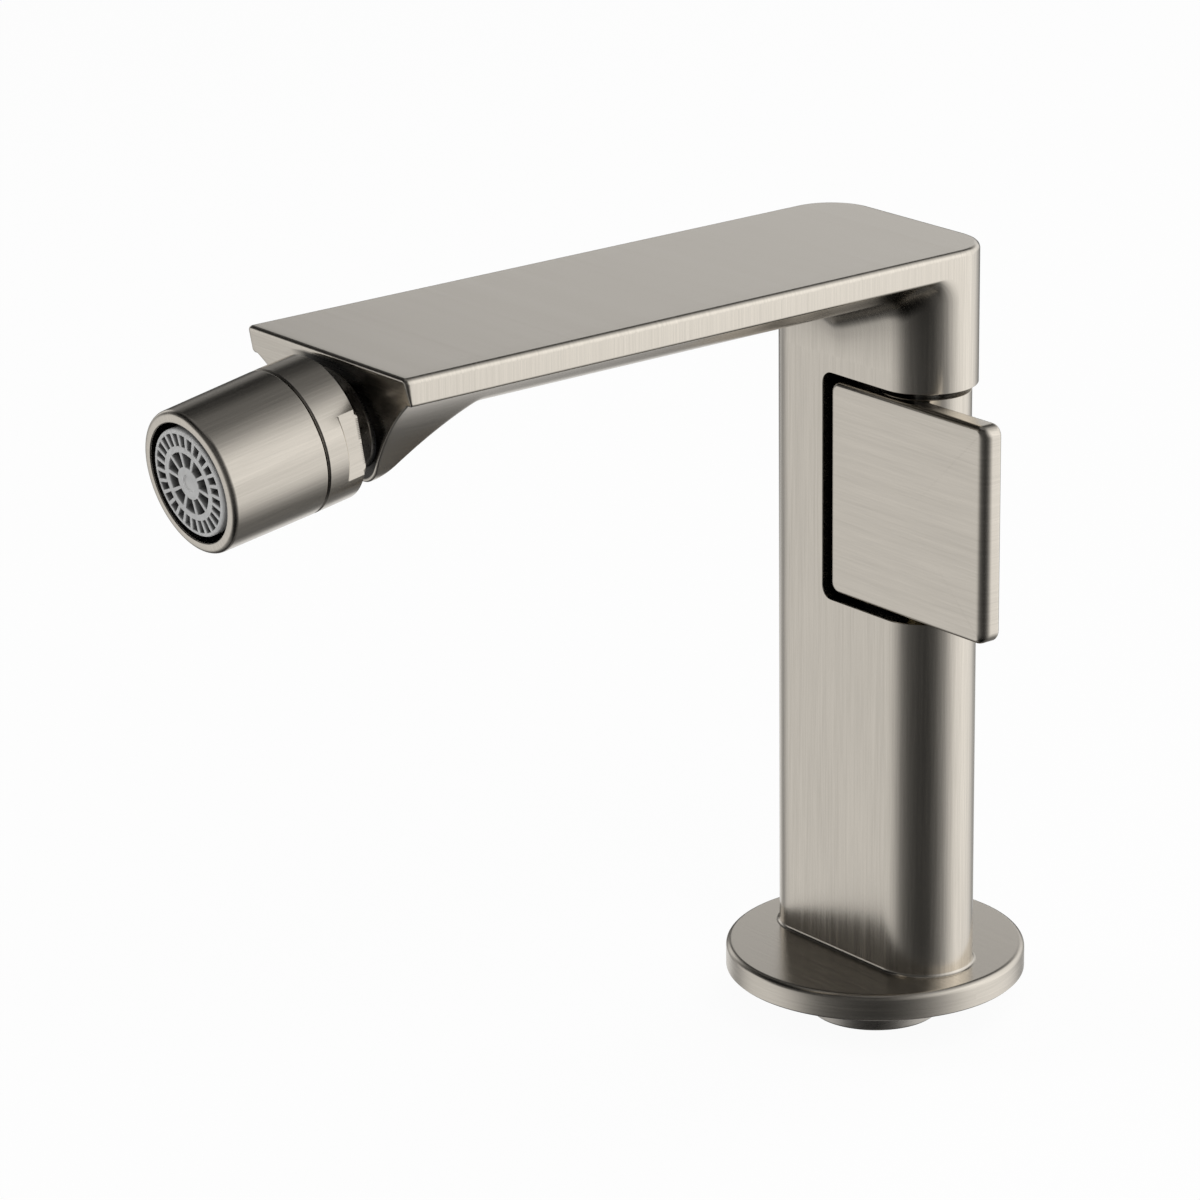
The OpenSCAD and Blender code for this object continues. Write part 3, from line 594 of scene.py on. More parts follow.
    def spout(self):
        """Head and spout: each section rises up the column's front, turns through a fillet and runs forward
        along the underside, and the sides, the rounded top edge and the flat top close it."""
        shape = self.shape
        fillet, lip = shape.neck_fillet, shape.top_round
        p_front = joined(self.p_left, self.p_window)
        p_front = p_front[p_front <= self.turns[3] + MERGE_DISTANCE]
        x, y, _, _ = self.outline(p_front)
        under = self.top - self.depth(x, y - fillet)
        bend = quarter(self.NECK_STEPS)
        wall = np.linspace(self.head, under - fillet, 4, axis=-1)
        arc_y = (y - fillet)[:, None] + fillet * np.cos(bend)
        arc_z = (under - fillet)[:, None] + fillet * np.sin(bend)
        end = self.face_y(self.flank(x)) + shape.under_round
        for _ in range(6):
            end = self.face_y(self.depth(x, end)) + shape.under_round
        ahead = self.forward(x, y - fillet, end)
        ys = np.concatenate((np.broadcast_to(y[:, None], wall.shape), arc_y[:, 1:], ahead), axis=1)
        zs = np.concatenate((wall, arc_z[:, 1:], self.top - self.depth(x[:, None], ahead)), axis=1)
        section = xyz(x[:, None], ys, zs)
        shade = self.hollow_shade(x, y - fillet, wall, ahead)
        made = [patch(section, zs - ys, p_front[:, None], polish=shade)]
        self.nose_x, self.nose_h = x, self.top - zs[:, -1]
        first = wall.shape[1] - 1
        p_back = joined(self.p_window, self.p_rear)
        p_back = p_back[p_back >= self.turns[3] - MERGE_DISTANCE]
        rows = np.concatenate((wall[-1], [self.top - lip]))
        back = self.skin(p_back[:, None], rows)
        made.append(patch(back, rows, p_back[:, None]))
        side_ys = self.side(ys[-1, first:], lip)
        for side in (0, -1):
            lower = section[side, first:]
            upper = xyz(lower[:, 0], side_ys, self.top - lip)
            grid = np.stack((lower, upper))
            made.append(patch(grid, grid[..., 2], self.SIDE_GRAIN * grid[..., 1]))
        return made + self.roof(ys[-1, first:], p_back)

    def edge_round(self, depth):
        """Rounding of the front face's edge at a depth: it shrinks down the rim's side."""
        shape = self.shape
        foot = shape.rim_height - shape.rim_round
        growth = 1.6 * MM
        grown = eased(depth, foot, foot - growth)
        return shape.under_round + grown * (shape.face_round - shape.under_round)

    def side(self, ys, depth):
        """Y samples of the rim's side at a depth: as along its lower edge, but ending on the front face."""
        end = self.face_y(depth) + self.edge_round(depth)
        tail = self.TAIL_STEPS
        start = ys[-tail - 1]
        part = (ys[-tail:] - start) / (ys[-1] - start)
        return np.concatenate((ys[:-tail], start + part * (end - start)))

    def roof(self, ys, p_back):
        """The quarter-round edge along both sides and round the back, and the flat top that it bounds."""
        lip = self.shape.top_round
        x, y, nx, ny = self.outline(p_back)
        rows = []
        for bend in quarter(self.EDGE_STEPS):
            inset = lip * (1 - math.cos(bend))
            sides = self.side(ys, lip * (1 - math.sin(bend)))
            path_x = np.concatenate((np.full(len(ys), self.half_w - inset), (x - nx * inset)[1:-1],
                                     np.full(len(ys), inset - self.half_w)))
            path_y = np.concatenate((sides[::-1], (y - ny * inset)[1:-1], sides))
            rows.append(xyz(path_x, path_y, self.top - lip + lip * math.sin(bend)))
        edge = np.stack(rows)
        run = run_length(edge[0])
        bend = quarter(self.EDGE_STEPS)[:, None]
        made = [patch(edge, lip * bend, run, polish=np.sin(2 * bend))]
        on_flat = (p_back >= self.turns[4] - MERGE_DISTANCE) & (p_back <= self.turns[5] + MERGE_DISTANCE)
        self.across = 1 - 2 * (p_back[on_flat] - self.turns[4]) / (self.turns[5] - self.turns[4])
        last = len(ys) + np.argmax(on_flat)
        half = edge[-1, :last]
        flat = xyz(half[:, :1] * self.across, half[:, 1:2], self.top)
        made.append(patch(flat, self.TOP_GRAIN[0] * flat[..., 0], self.TOP_GRAIN[1] * flat[..., 1]))
        return made

    def drawn_in(self, loop):
        """The face's outline with its two ends beyond the flanks drawn in to straight lines, on which their
        points keep their share of the way."""
        arc_x, arc_h = self.flank_middle()
        drop, spare = arc_h - self.shape.rim_height, 0.06 * MM
        limit = arc_x - math.sqrt(self.shape.flank_radius ** 2 - drop ** 2) - spare
        run = run_length(loop)
        drawn = loop.copy()
        for sign in (1, -1):
            out = sign * loop[:, 0] - limit
            beyond = np.flatnonzero(out > 0)
            ends, at = [], []
            for inside, outside in ((beyond[0] - 1, beyond[0]), (beyond[-1] + 1, beyond[-1])):
                part = out[inside] / (out[inside] - out[outside])
                ends.append(loop[inside] + part * (loop[outside] - loop[inside]))
                at.append(run[inside] + part * (run[outside] - run[inside]))
            share = (run[beyond] - at[0]) / (at[1] - at[0])
            drawn[beyond] = ends[0] + share[:, None] * (ends[1] - ends[0])
        return drawn

    def nose(self):
        """The leaning front face: a quarter-round edge from the spout's outline, the face and the seat."""
        shape, outlet = self.shape, self.outlet
        lip, rows, shade_from, shade_full = shape.top_round, 7, 15 * MM, 12.5 * MM
        bend = quarter(self.EDGE_STEPS)
        top_x = (self.half_w - lip) * self.across
        down = bend[::-1][1:]
        x = np.concatenate((top_x, -(self.half_w - lip * (1 - np.cos(down))), self.nose_x,
                            (self.half_w - lip * (1 - np.cos(bend)))[:-1]))
        h = np.concatenate((0 * top_x, lip * (1 - np.sin(down)), self.nose_h, lip * (1 - np.sin(bend))[:-1]))
        loop = np.roll(np.stack((x, h), axis=1), -np.argmax(h), axis=0)
        loop = np.concatenate((loop, loop[:1]))
        side = np.diff(loop, axis=0)
        side = side / np.linalg.norm(side, axis=1)[:, None]
        inside = np.stack((side[:, 1], -side[:, 0]), axis=1)
        before, after = np.roll(inside, 1, axis=0), inside
        mitre = (before + after) / (1 + np.sum(before * after, axis=1))[:, None]
        mitre = np.concatenate((mitre, mitre[:1]))
        bend = bend[:, None]
        edge = self.edge_round(loop[:, 1])
        moved = loop + mitre * (edge * (1 - np.cos(bend)))[..., None]
        back = edge * (1 - np.sin(bend))
        grid = xyz(moved[..., 0], self.face_y(moved[..., 1]) + back, self.top - moved[..., 1])
        made = [patch(grid, edge * bend, run_length(loop), polish=np.sin(2 * bend))]
        axis = outlet_axis(outlet)
        centre_h = self.top - axis.origin[2]
        drawn = self.drawn_in(moved[-1])
        turn = np.arctan2(centre_h - drawn[:, 1], drawn[:, 0])
        rim = axis.ring(outlet.seat_radius, turn, 0.0)
        lean = math.tan(shape.face_lean)
        off = rim[:, 1] + self.reach - (self.top - rim[:, 2]) * lean
        rim = rim - (off / (axis.along[1] + axis.along[2] * lean))[:, None] * axis.along
        inner = xyz(drawn[:, 0], self.face_y(drawn[:, 1]), self.top - drawn[:, 1])
        part = np.linspace(0, 1, rows)[:, None, None]
        face = np.concatenate((grid[-1:], inner * (1 - part) + rim * part))
        from_seat = np.linalg.norm(face - axis.origin, axis=-1)
        # Painted shade: the face darkens towards the seat round the nipple, except its first two rows.
        painted_seat_shade = -eased(from_seat, shade_from, shade_full)
        painted_seat_shade[:2] = 0
        made.append(patch(face, face[..., 0], face[..., 2], polish=painted_seat_shade))
        seat = axis.ring(outlet.seat_radius, turn, outlet.seat_at)
        middle = np.broadcast_to(axis.place(0.0, 0.0, outlet.seat_at), seat.shape)
        well = np.stack((rim, seat, middle))
        # Painted shade: the seat's well is painted fully dark.
        made.append(patch(well, np.array([[0], [1], [2]]) * MM, turn * outlet.seat_radius, polish=-1.0))
        return made


def rounded_box(low, high, corner, front_round, grip_round, back_round):
    """A plate: a profile of two rounded edges carried along a rectangle with round corners, and two flat
    faces. The front rounding grows towards the outer end with the square of the outline's direction."""
    steps, band = 8, 0.03
    corners = [(low[0], low[2], corner), (high[0], low[2], corner), (high[0], high[2], corner),
               (low[0], high[2], corner)]
    outline = round_corners(corners, steps=steps)
    step = np.roll(outline[:-1], -1, axis=0) - np.roll(outline[:-1], 1, axis=0)
    step = step / np.linalg.norm(step, axis=1)[:, None]
    away = np.stack((step[:, 1], -step[:, 0]), axis=1)
    for row, (sx, sz) in enumerate(((-1, -1), (1, -1), (1, 1), (-1, 1))):
        turn = math.atan2(sz, sx) + np.linspace(-math.pi / 4, math.pi / 4, steps + 1)
        first = (steps + 1) * row
        away[first:first + steps + 1] = np.stack((np.cos(turn), np.sin(turn)), axis=1)
    away = np.concatenate((away, away[:1]))
    bend = quarter(steps)[:, None]
    front = front_round + (grip_round - front_round) * np.maximum(away[:, 0], 0) ** 2
    back = back_round + 0 * front
    inset = np.concatenate((front * (1 - np.sin(bend)), back * (1 - np.cos(bend))))
    y = np.concatenate((low[1] + front * (1 - np.cos(bend)), high[1] - back * (1 - np.sin(bend))))
    x = outline[:, 0] - away[:, 0] * inset
    z = outline[:, 1] - away[:, 1] * inset
    grid = xyz(x, y, z)
    depth = y - low[1]
    polish = np.sin(2 * np.concatenate((bend, bend)))
    made = [patch(grid, x + depth * away[:, 0], z + depth * away[:, 1], polish=polish)]
    centre = (low + high) / 2
    for row in (grid[0], grid[-1]):
        middle = np.broadcast_to([centre[0], row[0, 1], centre[2]], row.shape)
        face = np.stack((row, (1 - band) * row + band * middle, middle))
        made.append(patch(face, face[..., 0], face[..., 2]))
    return made


def holed_cell(side, centre, radius, rows=3):
    """A flat ring from a closed side round a cell to a circle in it, as pairs of coordinates."""
    ray = side - centre
    circle = centre + radius * ray / np.linalg.norm(ray, axis=1)[:, None]
    part = np.linspace(0, 1, rows)[:, None, None]
    return side * (1 - part) + circle * part


class HubSurface:
    """Works out the grids of the lever's hub: a round post, cut flat behind the plate, with holes in its
    back. BACK gives the first and last of the turns where the holes are."""

    TURNS = 96
    BACK = (12, 36)
    CELL_STEPS = 6

    def __init__(self, shape):
        self.shape = shape
        self.radius = HUB_HIGH[1]
        self.x = 0.5 * (HUB_LOW[0] + HUB_HIGH[0])
        self.turn = np.linspace(0, 2 * math.pi, self.TURNS + 1)
        step = shape.plate_gap
        self.cuts = (PLATE_LOW[2] - step, PLATE_HIGH[2] + step)

    def ring(self, radius, z, flat):
        """A ring of the post: a circle, or one whose front is cut off level with the plate's back."""
        y = radius * np.sin(self.turn)
        return xyz(self.x + radius * np.cos(self.turn), np.maximum(y, PLATE_HIGH[1]) if flat else y, z)

    def patches(self):
        """The two end discs, the cut post between them and its holed back."""
        shape, radius = self.shape, self.radius
        low, high = PLATE_LOW[2] - shape.hub_rise, PLATE_HIGH[2] + shape.hub_rise
        cut_low, cut_high = self.cuts
        screw_z = (SCREWS_LOW[2] + shape.head_radius, SCREWS_HIGH[2] - shape.head_radius)
        middle = 0.5 * (screw_z[0] + screw_z[1])
        below, above = 2 * screw_z[0] - middle, 2 * screw_z[1] - middle
        holes = ((cut_low, below, 0.5 * (GRUB_LOW[2] + GRUB_HIGH[2]), shape.grub_hole, GRUB_LOW[1]),
                 (below, middle, screw_z[0], shape.head_hole, shape.head_seat),
                 (middle, above, screw_z[1], shape.head_hole, shape.head_seat))
        runs = [np.linspace(hole[0], hole[1], self.CELL_STEPS + 1) for hole in holes]
        breaks = joined(*runs, np.array([above, cut_high]))
        made = []
        for start, stop, chamfer in ((cut_low, low, shape.hub_chamfer), (cut_high, high, -shape.hub_chamfer)):
            rings = [self.ring(radius, start, True), self.ring(radius, start, False),
                     self.ring(radius, stop + chamfer, False), self.ring(radius - abs(chamfer), stop, False),
                     self.ring(0.0, stop, False)]
            grid = np.stack(rings)
            made.append(patch(grid, grid[..., 2], radius * self.turn))
        post = np.stack([self.ring(radius, z, True) for z in breaks])
        keep = np.ones((len(breaks) - 1, self.TURNS), bool)
        keep[:-1, self.BACK[0]:self.BACK[1]] = False
        made.append(patch(post, post[..., 2], radius * self.turn, keep=keep))
        for hole in holes:
            made += self.hole(*hole)
        return made

    def hole(self, low, high, z, radius, seat):
        """One cell of the post's back with a round hole along Y: the ring round it, its wall and floor."""
        turn = self.turn[self.BACK[0]:self.BACK[1] + 1]
        x = self.radius * np.cos(turn)
        rise = np.linspace(low, high, self.CELL_STEPS + 1)
        side = np.concatenate((np.stack((x, np.full_like(x, low)), 1),
                               np.stack((np.full_like(rise, x[-1]), rise), 1)[1:],
                               np.stack((x[::-1], np.full_like(x, high)), 1)[1:],
                               np.stack((np.full_like(rise, x[0]), rise[::-1]), 1)[1:]))
        cell = holed_cell(side, np.array([0.0, z]), radius, rows=4)
        back = np.sqrt(np.maximum(self.radius ** 2 - cell[..., 0] ** 2, 0))
        grid = xyz(self.x + cell[..., 0], back, cell[..., 1])
        rim = grid[-1]
        floor = rim.copy()
        floor[:, 1] = seat
        centre = np.broadcast_to([self.x, seat, z], rim.shape)
        well = np.stack((rim, floor, centre))
        return [patch(grid, grid[..., 2], cell[..., 0]), patch(well, well[..., 2], well[..., 0])]


def stadium_reach(turn, straight, radius):
    """Distance from the middle of a slot with round ends to its edge, in each direction."""
    on_side = np.abs(radius * np.cos(turn)) <= straight * np.abs(np.sin(turn))
    side = radius / np.maximum(np.abs(np.sin(turn)), 1e-9)
    short = np.sqrt(np.maximum(radius ** 2 - (straight * np.sin(turn)) ** 2, 0))
    return np.where(on_side, side, straight * np.abs(np.cos(turn)) + short)


def flange_patches(edge_round, foot_break, slot_straight, slot_radius, groove):
    """The flange: a turned rim with a groove for the seal, flat faces above and below, and its slot."""
    top, radius = FLANGE_HIGH[2], FLANGE_HIGH[0]
    groove_in, groove_out, groove_top = groove
    turn = np.linspace(0, 2 * math.pi, 193)
    bend = quarter(10)
    rim_r = np.concatenate((radius - edge_round + edge_round * np.sin(bend), [radius, radius - foot_break]))
    rim_z = np.concatenate((top - edge_round + edge_round * np.cos(bend), [foot_break, 0.0]))
    low_r = np.array([radius - foot_break, groove_out, groove_out, groove_in, groove_in])
    low_z = np.array([0.0, 0.0, groove_top, groove_top, 0.0])
    axis = upright(0, 0)
    made = []
    for r, z in ((rim_r, rim_z), (low_r, low_z)):
        grid = axis.ring(r[:, None], turn, z[:, None])
        made.append(patch(grid, radius * turn, run_length(np.stack((r, z), 1))[:, None]))
    reach = stadium_reach(turn, slot_straight, slot_radius)
    for outer, z in ((radius - edge_round, top), (groove_in, 0.0)):
        r = np.stack((np.full_like(turn, outer), 0.5 * (outer + reach), reach))
        grid = axis.ring(r, turn, z)
        made.append(patch(grid, grid[..., 0], grid[..., 1]))
    wall = axis.ring(reach, turn, np.array([[top], [0.0]]))
    made.append(patch(wall, wall[..., 2], radius * turn))
    return made


def shank_patches(edge_break, slot_straight, slot_radius, thread_depth, pitch):
    """The shank: a round stub with a tenon above it, and three tapped holes in its end.
    A thread's radius follows a zigzag of the height less the turn's share of the pitch."""
    arc_step, spoke_steps, rows_per_pitch = 2.5, 8, 8
    radius = MOUNTS["shank"]["dims"]["r_mm"] * MM
    bottom, top = SHANK_LOW[2], SHANK_HIGH[2]
    turn = np.linspace(0, 2 * math.pi, 145)
    reach = stadium_reach(turn, slot_straight, slot_radius)
    rings_r = np.stack((np.full_like(turn, radius - edge_break), np.full_like(turn, radius),
                        np.full_like(turn, radius), reach, reach, 0 * turn))
    rings_z = np.array([bottom, bottom + edge_break, 0.0, 0.0, top, top])[:, None]
    axis = upright(0, 0)
    grid = axis.ring(rings_r, turn, rings_z)
    made = [patch(grid, radius * turn, rings_z + rings_r)]
    stops = {"cold_inlet": (-90, 60), "stud_hole": (60, 120), "hot_inlet": (120, 270)}
    for name, (start, stop) in stops.items():
        mount = MOUNTS[name]
        centre = np.array(mount["pos_m"][:2], float)
        hole, depth = mount["dims"]["r_mm"] * MM, mount["dims"]["length_mm"] * MM
        arc = np.radians(np.linspace(start, stop, int((stop - start) / arc_step) + 1))
        spoke = np.linspace(0, radius - edge_break, spoke_steps + 1)
        edge = (radius - edge_break) * np.stack((np.cos(arc), np.sin(arc)), 1)
        first, last = edge[0] / (radius - edge_break), edge[-1] / (radius - edge_break)
        side = np.concatenate((spoke[:, None] * first, edge[1:], (spoke[::-1, None] * last)[1:]))
        ring = holed_cell(side, centre, hole)
        cell = xyz(ring[..., 0], ring[..., 1], bottom)
        made.append(patch(cell, cell[..., 0], cell[..., 1]))
        swing = np.unwrap(np.arctan2(ring[-1, :, 1] - centre[1], ring[-1, :, 0] - centre[0]))
        rise = np.linspace(0, depth, int(depth / pitch) * rows_per_pitch + 1)[:, None]
        zigzag = np.abs((rise / pitch - swing / (2 * math.pi)) % 1 - 0.5) * 2
        fade = np.minimum(1, np.minimum(rise, depth - rise) / pitch)
        r = hole + thread_depth * zigzag * fade
        well = xyz(centre[0] + r * np.cos(swing), centre[1] + r * np.sin(swing), bottom + rise)
        middle = np.broadcast_to([centre[0], centre[1], bottom + depth], well[:1].shape)
        well = np.concatenate((well, middle))
        made.append(patch(well, well[..., 2], hole * swing))
    return made


def collar_patches(shape):
    """The swivel collar: a turned ring whose outside is cut by two flats, so that x stays within half of
    their size there. The flats end at a shoulder with a broken edge, and the inside is a cup for the ball."""
    axis = outlet_axis(shape)
    radius, start, seam = shape.radius, shape.collar_start, shape.seam_at - shape.seam_width / 2
    flat, flat_end = shape.flats / 2, start + shape.flats_length
    cup, cup_steps, mouth, bore, sleeve_end = 9.8 * MM, 8, 7.2 * MM, 10.6 * MM, 20 * MM
    sleeve = radius - shape.wall - SLEEVE_GAP
    cup_turn = np.linspace(math.asin(mouth / cup), math.pi / 2, cup_steps + 1)
    cup_run = np.stack((cup * np.sin(cup_turn), shape.ball_at - cup * np.cos(cup_turn)), 1)
    chamfer, small, lip = 0.6 * MM, 0.22 * MM, 0.32 * MM
    shade_from, shade_full = 1.1 * chamfer, 1.2 * chamfer
    outside = np.array([(mouth + small, start), (radius - shade_full, start), (radius - chamfer, start),
                        (radius, start + chamfer),
                        (radius, flat_end - small), (radius, flat_end), (radius, flat_end + lip),
                        (radius, seam - lip), (radius - lip, seam), (sleeve, seam)])
    inside = np.array([(sleeve, sleeve_end), (bore, sleeve_end), (bore, shape.ball_at)])
    back = np.array([(mouth, start + small), (mouth + small, start)])
    profile = np.concatenate((outside, inside, cup_run[::-1], back))
    cut = np.zeros(len(profile), bool)
    shoulder = 6
    cut[1:shoulder] = True
    profile = np.insert(profile, shoulder, profile[shoulder - 1], axis=0)
    cut = np.insert(cut, shoulder, False)
    edge = math.acos(flat / radius)
    edges = [edge, math.pi - edge, math.pi + edge, 2 * math.pi - edge]
    turn = np.sort(np.append(np.linspace(0, 2 * math.pi, OUTLET_SEGMENTS + 1), edges))[:, None]
    r, s = profile[:, 0], profile[:, 1]
    x = r * np.cos(turn)
    reach = np.where(cut, np.minimum(np.abs(x), flat), np.abs(x))
    full = reach[:, shoulder]
    reach[:, shoulder] = np.maximum(np.minimum(full, flat), full - lip)
    points = axis.place(np.sign(x) * reach, r * np.sin(turn), s)
    # Painted shade: the collar's surfaces inside its chamfer are painted fully dark.
    painted_inner_shade = np.where(r < radius - shade_from, -1.0, 0.0)
    return [patch(points, np.broadcast_to(s, points.shape[:2]), radius * turn, polish=painted_inner_shade)]


def housing_patches(shape):
    """The outlet housing: a turned sleeve with a rounded rim and a stepped bore."""
    seam, radius, front = shape.seam_at + shape.seam_width / 2, shape.radius, shape.front
    bore, step_at, mouth = radius - shape.wall, 24.0 * MM, shape.mouth_radius
    seam_round, rim_round, mouth_round, shade_at = 0.22 * MM, 1.1 * MM, 0.3 * MM, 0.2 * MM
    corners = [(radius, seam, seam_round), (shape.front_radius, front, rim_round),
               (mouth, front, mouth_round), (mouth, step_at), (bore, step_at), (bore, seam)]
    profile = round_corners(corners, steps=8)
    # Painted shade: the bore behind the mouth is painted fully dark.
    inner, behind = profile[:, 0] < bore + SLEEVE_GAP, profile[:, 1] < front - shade_at
    return [outlet_axis(shape).turned(profile, OUTLET_SEGMENTS, polish=np.where(inner & behind, -1.0, 0.0))]


def nipple_patches(shape):
    """The ball nipple: a turned thread, flange, neck and ball with a bore through it."""
    ball, centre, neck = shape.ball_radius, shape.ball_at, shape.neck_radius
    bore, nose, end, segments = 3.2 * MM, 7.5 * MM, -4.95 * MM, 96
    thread_r, thread_depth, pitch = 7.5 * MM, 0.5 * MM, 1.0 * MM
    flange_r, flange_h, edge = 9.8 * MM, 0.8 * MM, 0.15 * MM
    ball_turn = np.linspace(math.asin(neck / ball), math.pi - math.acos(nose / ball), 28)
    ball_run = np.stack((ball * np.sin(ball_turn), centre - ball * np.cos(ball_turn)), 1)
    rise = np.linspace(end, 0, 41)
    thread = np.stack((thread_r - thread_depth * np.abs((rise / pitch) % 1 - 0.5), rise), 1)
    flange = np.array([(flange_r, 0), (flange_r, flange_h - edge),
                       (flange_r - edge, flange_h), (neck, flange_h)])
    profile = np.concatenate((thread, flange, ball_run, [(bore, centre + nose), (bore, end)], thread[:1]))
    return [outlet_axis(shape).turned(profile, segments, round_grain=True)]


class InsertSurface:
    """Works out the aerator insert: a turned cup whose flat front has two rings of openings.
    A column of the front's grid keeps its number from ring to ring, and its turn slides between an even
    spacing and the edges of the openings. Shade is painted on the openings' walls, which darken behind the front,
    and on the grille's back."""

    COLUMNS = 260
    OPENING_SHARE = 0.45
    SHADE_AT = 0.3 * MM
    SHADES = np.array([[0.0], [-0.8], [-1.0]])

    def __init__(self, shape):
        self.shape = shape
        self.axis = outlet_axis(shape)
        self.even = np.linspace(0, 2 * math.pi, self.COLUMNS + 1)

    def spread(self, slots, half):
        """Turn of each column where the openings' edges lie half a turn-width each side of their middles."""
        per = self.COLUMNS // slots
        wide = int(self.OPENING_SHARE * per)
        pitch = 2 * math.pi / slots
        inside = np.linspace(-half, half, wide + 1)
        outside = np.linspace(half, pitch - half, per - wide + 1)
        one = np.concatenate((inside, outside[1:-1]))
        turns = (np.arange(slots)[:, None] * pitch + one).ravel()
        return np.append(turns, turns[0] + 2 * math.pi), wide

    def ring(self, slots, opening, inner, outer):
        """One ring of openings between two plain rings: the front, the back and the openings' walls. An
        opening is given by its two radii and its two widths."""
        low, high, width_low, width_high = opening
        per = self.COLUMNS // slots
        turn_low, wide = self.spread(slots, math.asin(0.5 * width_low / low))
        turn_high, _ = self.spread(slots, math.asin(0.5 * width_high / high))
        middle = self.even[wide] / 2
        turn_low, turn_high = turn_low + middle, turn_high + middle
        turns = np.stack((self.even, turn_low, turn_high, self.even))
        radii = np.array([inner, low, high, outer])[:, None]
        keep = np.ones((3, self.COLUMNS), bool)
        keep[1] = (np.arange(self.COLUMNS) % per) >= wide
        front, back = self.shape.insert_front, self.shape.insert_front - self.shape.grille
        made = []
        # Painted shade: the grille's back is painted fully dark.
        for s, shade in ((front, 0.0), (back, -1.0)):
            grid = self.axis.ring(radii, turns, s)
            made.append(patch(grid, grid[..., 0], grid[..., 2], polish=shade, keep=keep))
        # Painted shade: the openings' walls darken from the front edge to the back.
        rows = np.array([[front], [front - self.SHADE_AT], [back]])
        for slot in range(slots):
            lower = turn_low[slot * per:slot * per + wide + 1]
            upper = turn_high[slot * per:slot * per + wide + 1][::-1]
            loop = np.concatenate((lower, upper, lower[:1]))
            r = np.concatenate((np.full(len(lower), low), np.full(len(upper), high), [low]))
            wall = self.axis.ring(r, loop, rows)
            made.append(patch(wall, wall[..., 1], r * loop, polish=self.SHADES))
        return made

    def patches(self):
        """The rings of openings, the solid middle and the cup behind, all on the same columns."""
        shape, axis = self.shape, self.axis
        middle, between, rim = 2.4 * MM, 6.2 * MM, 9.5 * MM
        inner_opening = (3.0 * MM, 5.75 * MM, 1.38 * MM, 2.9 * MM)
        outer_opening = (6.85 * MM, 9.2 * MM, 1.12 * MM, 1.55 * MM)
        turn, front, back = self.even, shape.insert_front, shape.insert_front - shape.grille
        made = self.ring(shape.inner_slots, inner_opening, middle, between)
        made += self.ring(shape.outer_slots, outer_opening, between, rim)
        dimple_edge, dimple, dimple_at = 1.6 * MM, 1.4 * MM, front - 0.25 * MM
        hub_r = np.array([middle, dimple_edge, dimple, 0.0])[:, None]
        hub_s = np.array([front, front, dimple_at, dimple_at])[:, None]
        for s in (hub_s, np.full_like(hub_s, back)):
            grid = axis.ring(hub_r, turn, s)
            made.append(patch(grid, grid[..., 0], grid[..., 2]))
        bend = quarter(5)
        lip = shape.insert_radius - rim
        skirt, skirt_rise, foot_top, foot_low = 9.25 * MM, 0.5 * MM, 23.9 * MM, 22 * MM
        foot = shape.radius - shape.wall - SLEEVE_GAP
        cup_r = np.concatenate((rim + lip * np.sin(bend),
                                [shape.insert_radius, foot, foot, skirt, skirt, rim]))
        cup_s = np.concatenate((front - lip * (1 - np.cos(bend)),
                                [foot_top, foot_top, foot_low, foot_low, back - skirt_rise, back]))
        grid = axis.ring(cup_r[:, None], turn, cup_s[:, None])
        made.append(patch(grid, grid[..., 1], grid[..., 0]))
        return made


FINE_STREAKS = (45.0, 1800.0, 1.0)
BROAD_STREAKS = (16.0, 420.0, 1.0)
MIX_FIRST, MIX_SECOND, MIX_RESULT = 6, 7, 2
METALS = {"plain_nickel": (0.3, 900.0), "bare_brass": (0.26, 700.0), "screw_steel": (0.28, 1200.0)}
MOULDED = {"black_rubber": (0.72, 5000.0), "ceramic": (0.18, 6000.0), "grey_plastic": (0.38, 4200.0)}
PLAIN_MOULDED = (0.42, 4200.0)


def add_node(tree, kind, inputs=None, **settings):
    """Adds a shader node with its settings and its unlinked inputs."""
    made = tree.nodes.new(kind)
    for name, value in settings.items():
        setattr(made, name, value)
    for name, value in (inputs or {}).items():
        made.inputs[name].default_value = value
    return made


def blank_material(name):
    """A material without nodes, and its node tree."""
    material = bpy.data.materials.new(name)
    material.use_nodes = True
    material.node_tree.nodes.clear()
    return material, material.node_tree


def new_material(name):
    """A material with only its principled shader, linked to the output."""
    material, tree = blank_material(name)
    shader = add_node(tree, "ShaderNodeBsdfPrincipled")
    output = add_node(tree, "ShaderNodeOutputMaterial")
    tree.links.new(shader.outputs["BSDF"], output.inputs["Surface"])
    return material, tree, shader


def scaled(tint, factor):
    """A colour made darker or lighter, with its alpha."""
    return tuple(min(1.0, part * factor) for part in tint) + (1.0,)


def two_tone(tree, source, low, high, tint, dark, light):
    """A ramp from a darker to a lighter shade of a colour over part of a pattern's range."""
    ramp = add_node(tree, "ShaderNodeValToRGB")
    ramp.color_ramp.elements[0].position = low
    ramp.color_ramp.elements[0].color = scaled(tint, dark)
    ramp.color_ramp.elements[1].position = high
    ramp.color_ramp.elements[1].color = scaled(tint, light)
    tree.links.new(source, ramp.inputs["Fac"])
    return ramp.outputs["Color"]


def ranged(tree, source, low, high, start, stop):
    """Maps part of a pattern's range to another range."""
    limits = {"From Min": low, "From Max": high, "To Min": start, "To Max": stop}
    made = add_node(tree, "ShaderNodeMapRange", limits)
    tree.links.new(source, made.inputs["Value"])
    return made.outputs["Result"]


def pattern(tree, coordinates, scale, detail, rough=0.6):
    """Noise on coordinates that are stretched by a scale."""
    mapping = add_node(tree, "ShaderNodeMapping", {"Scale": scale})
    noise = add_node(tree, "ShaderNodeTexNoise", {"Scale": 1.0, "Detail": detail, "Roughness": rough})
    tree.links.new(coordinates, mapping.inputs["Vector"])
    tree.links.new(mapping.outputs["Vector"], noise.inputs["Vector"])
    return noise.outputs["Fac"]


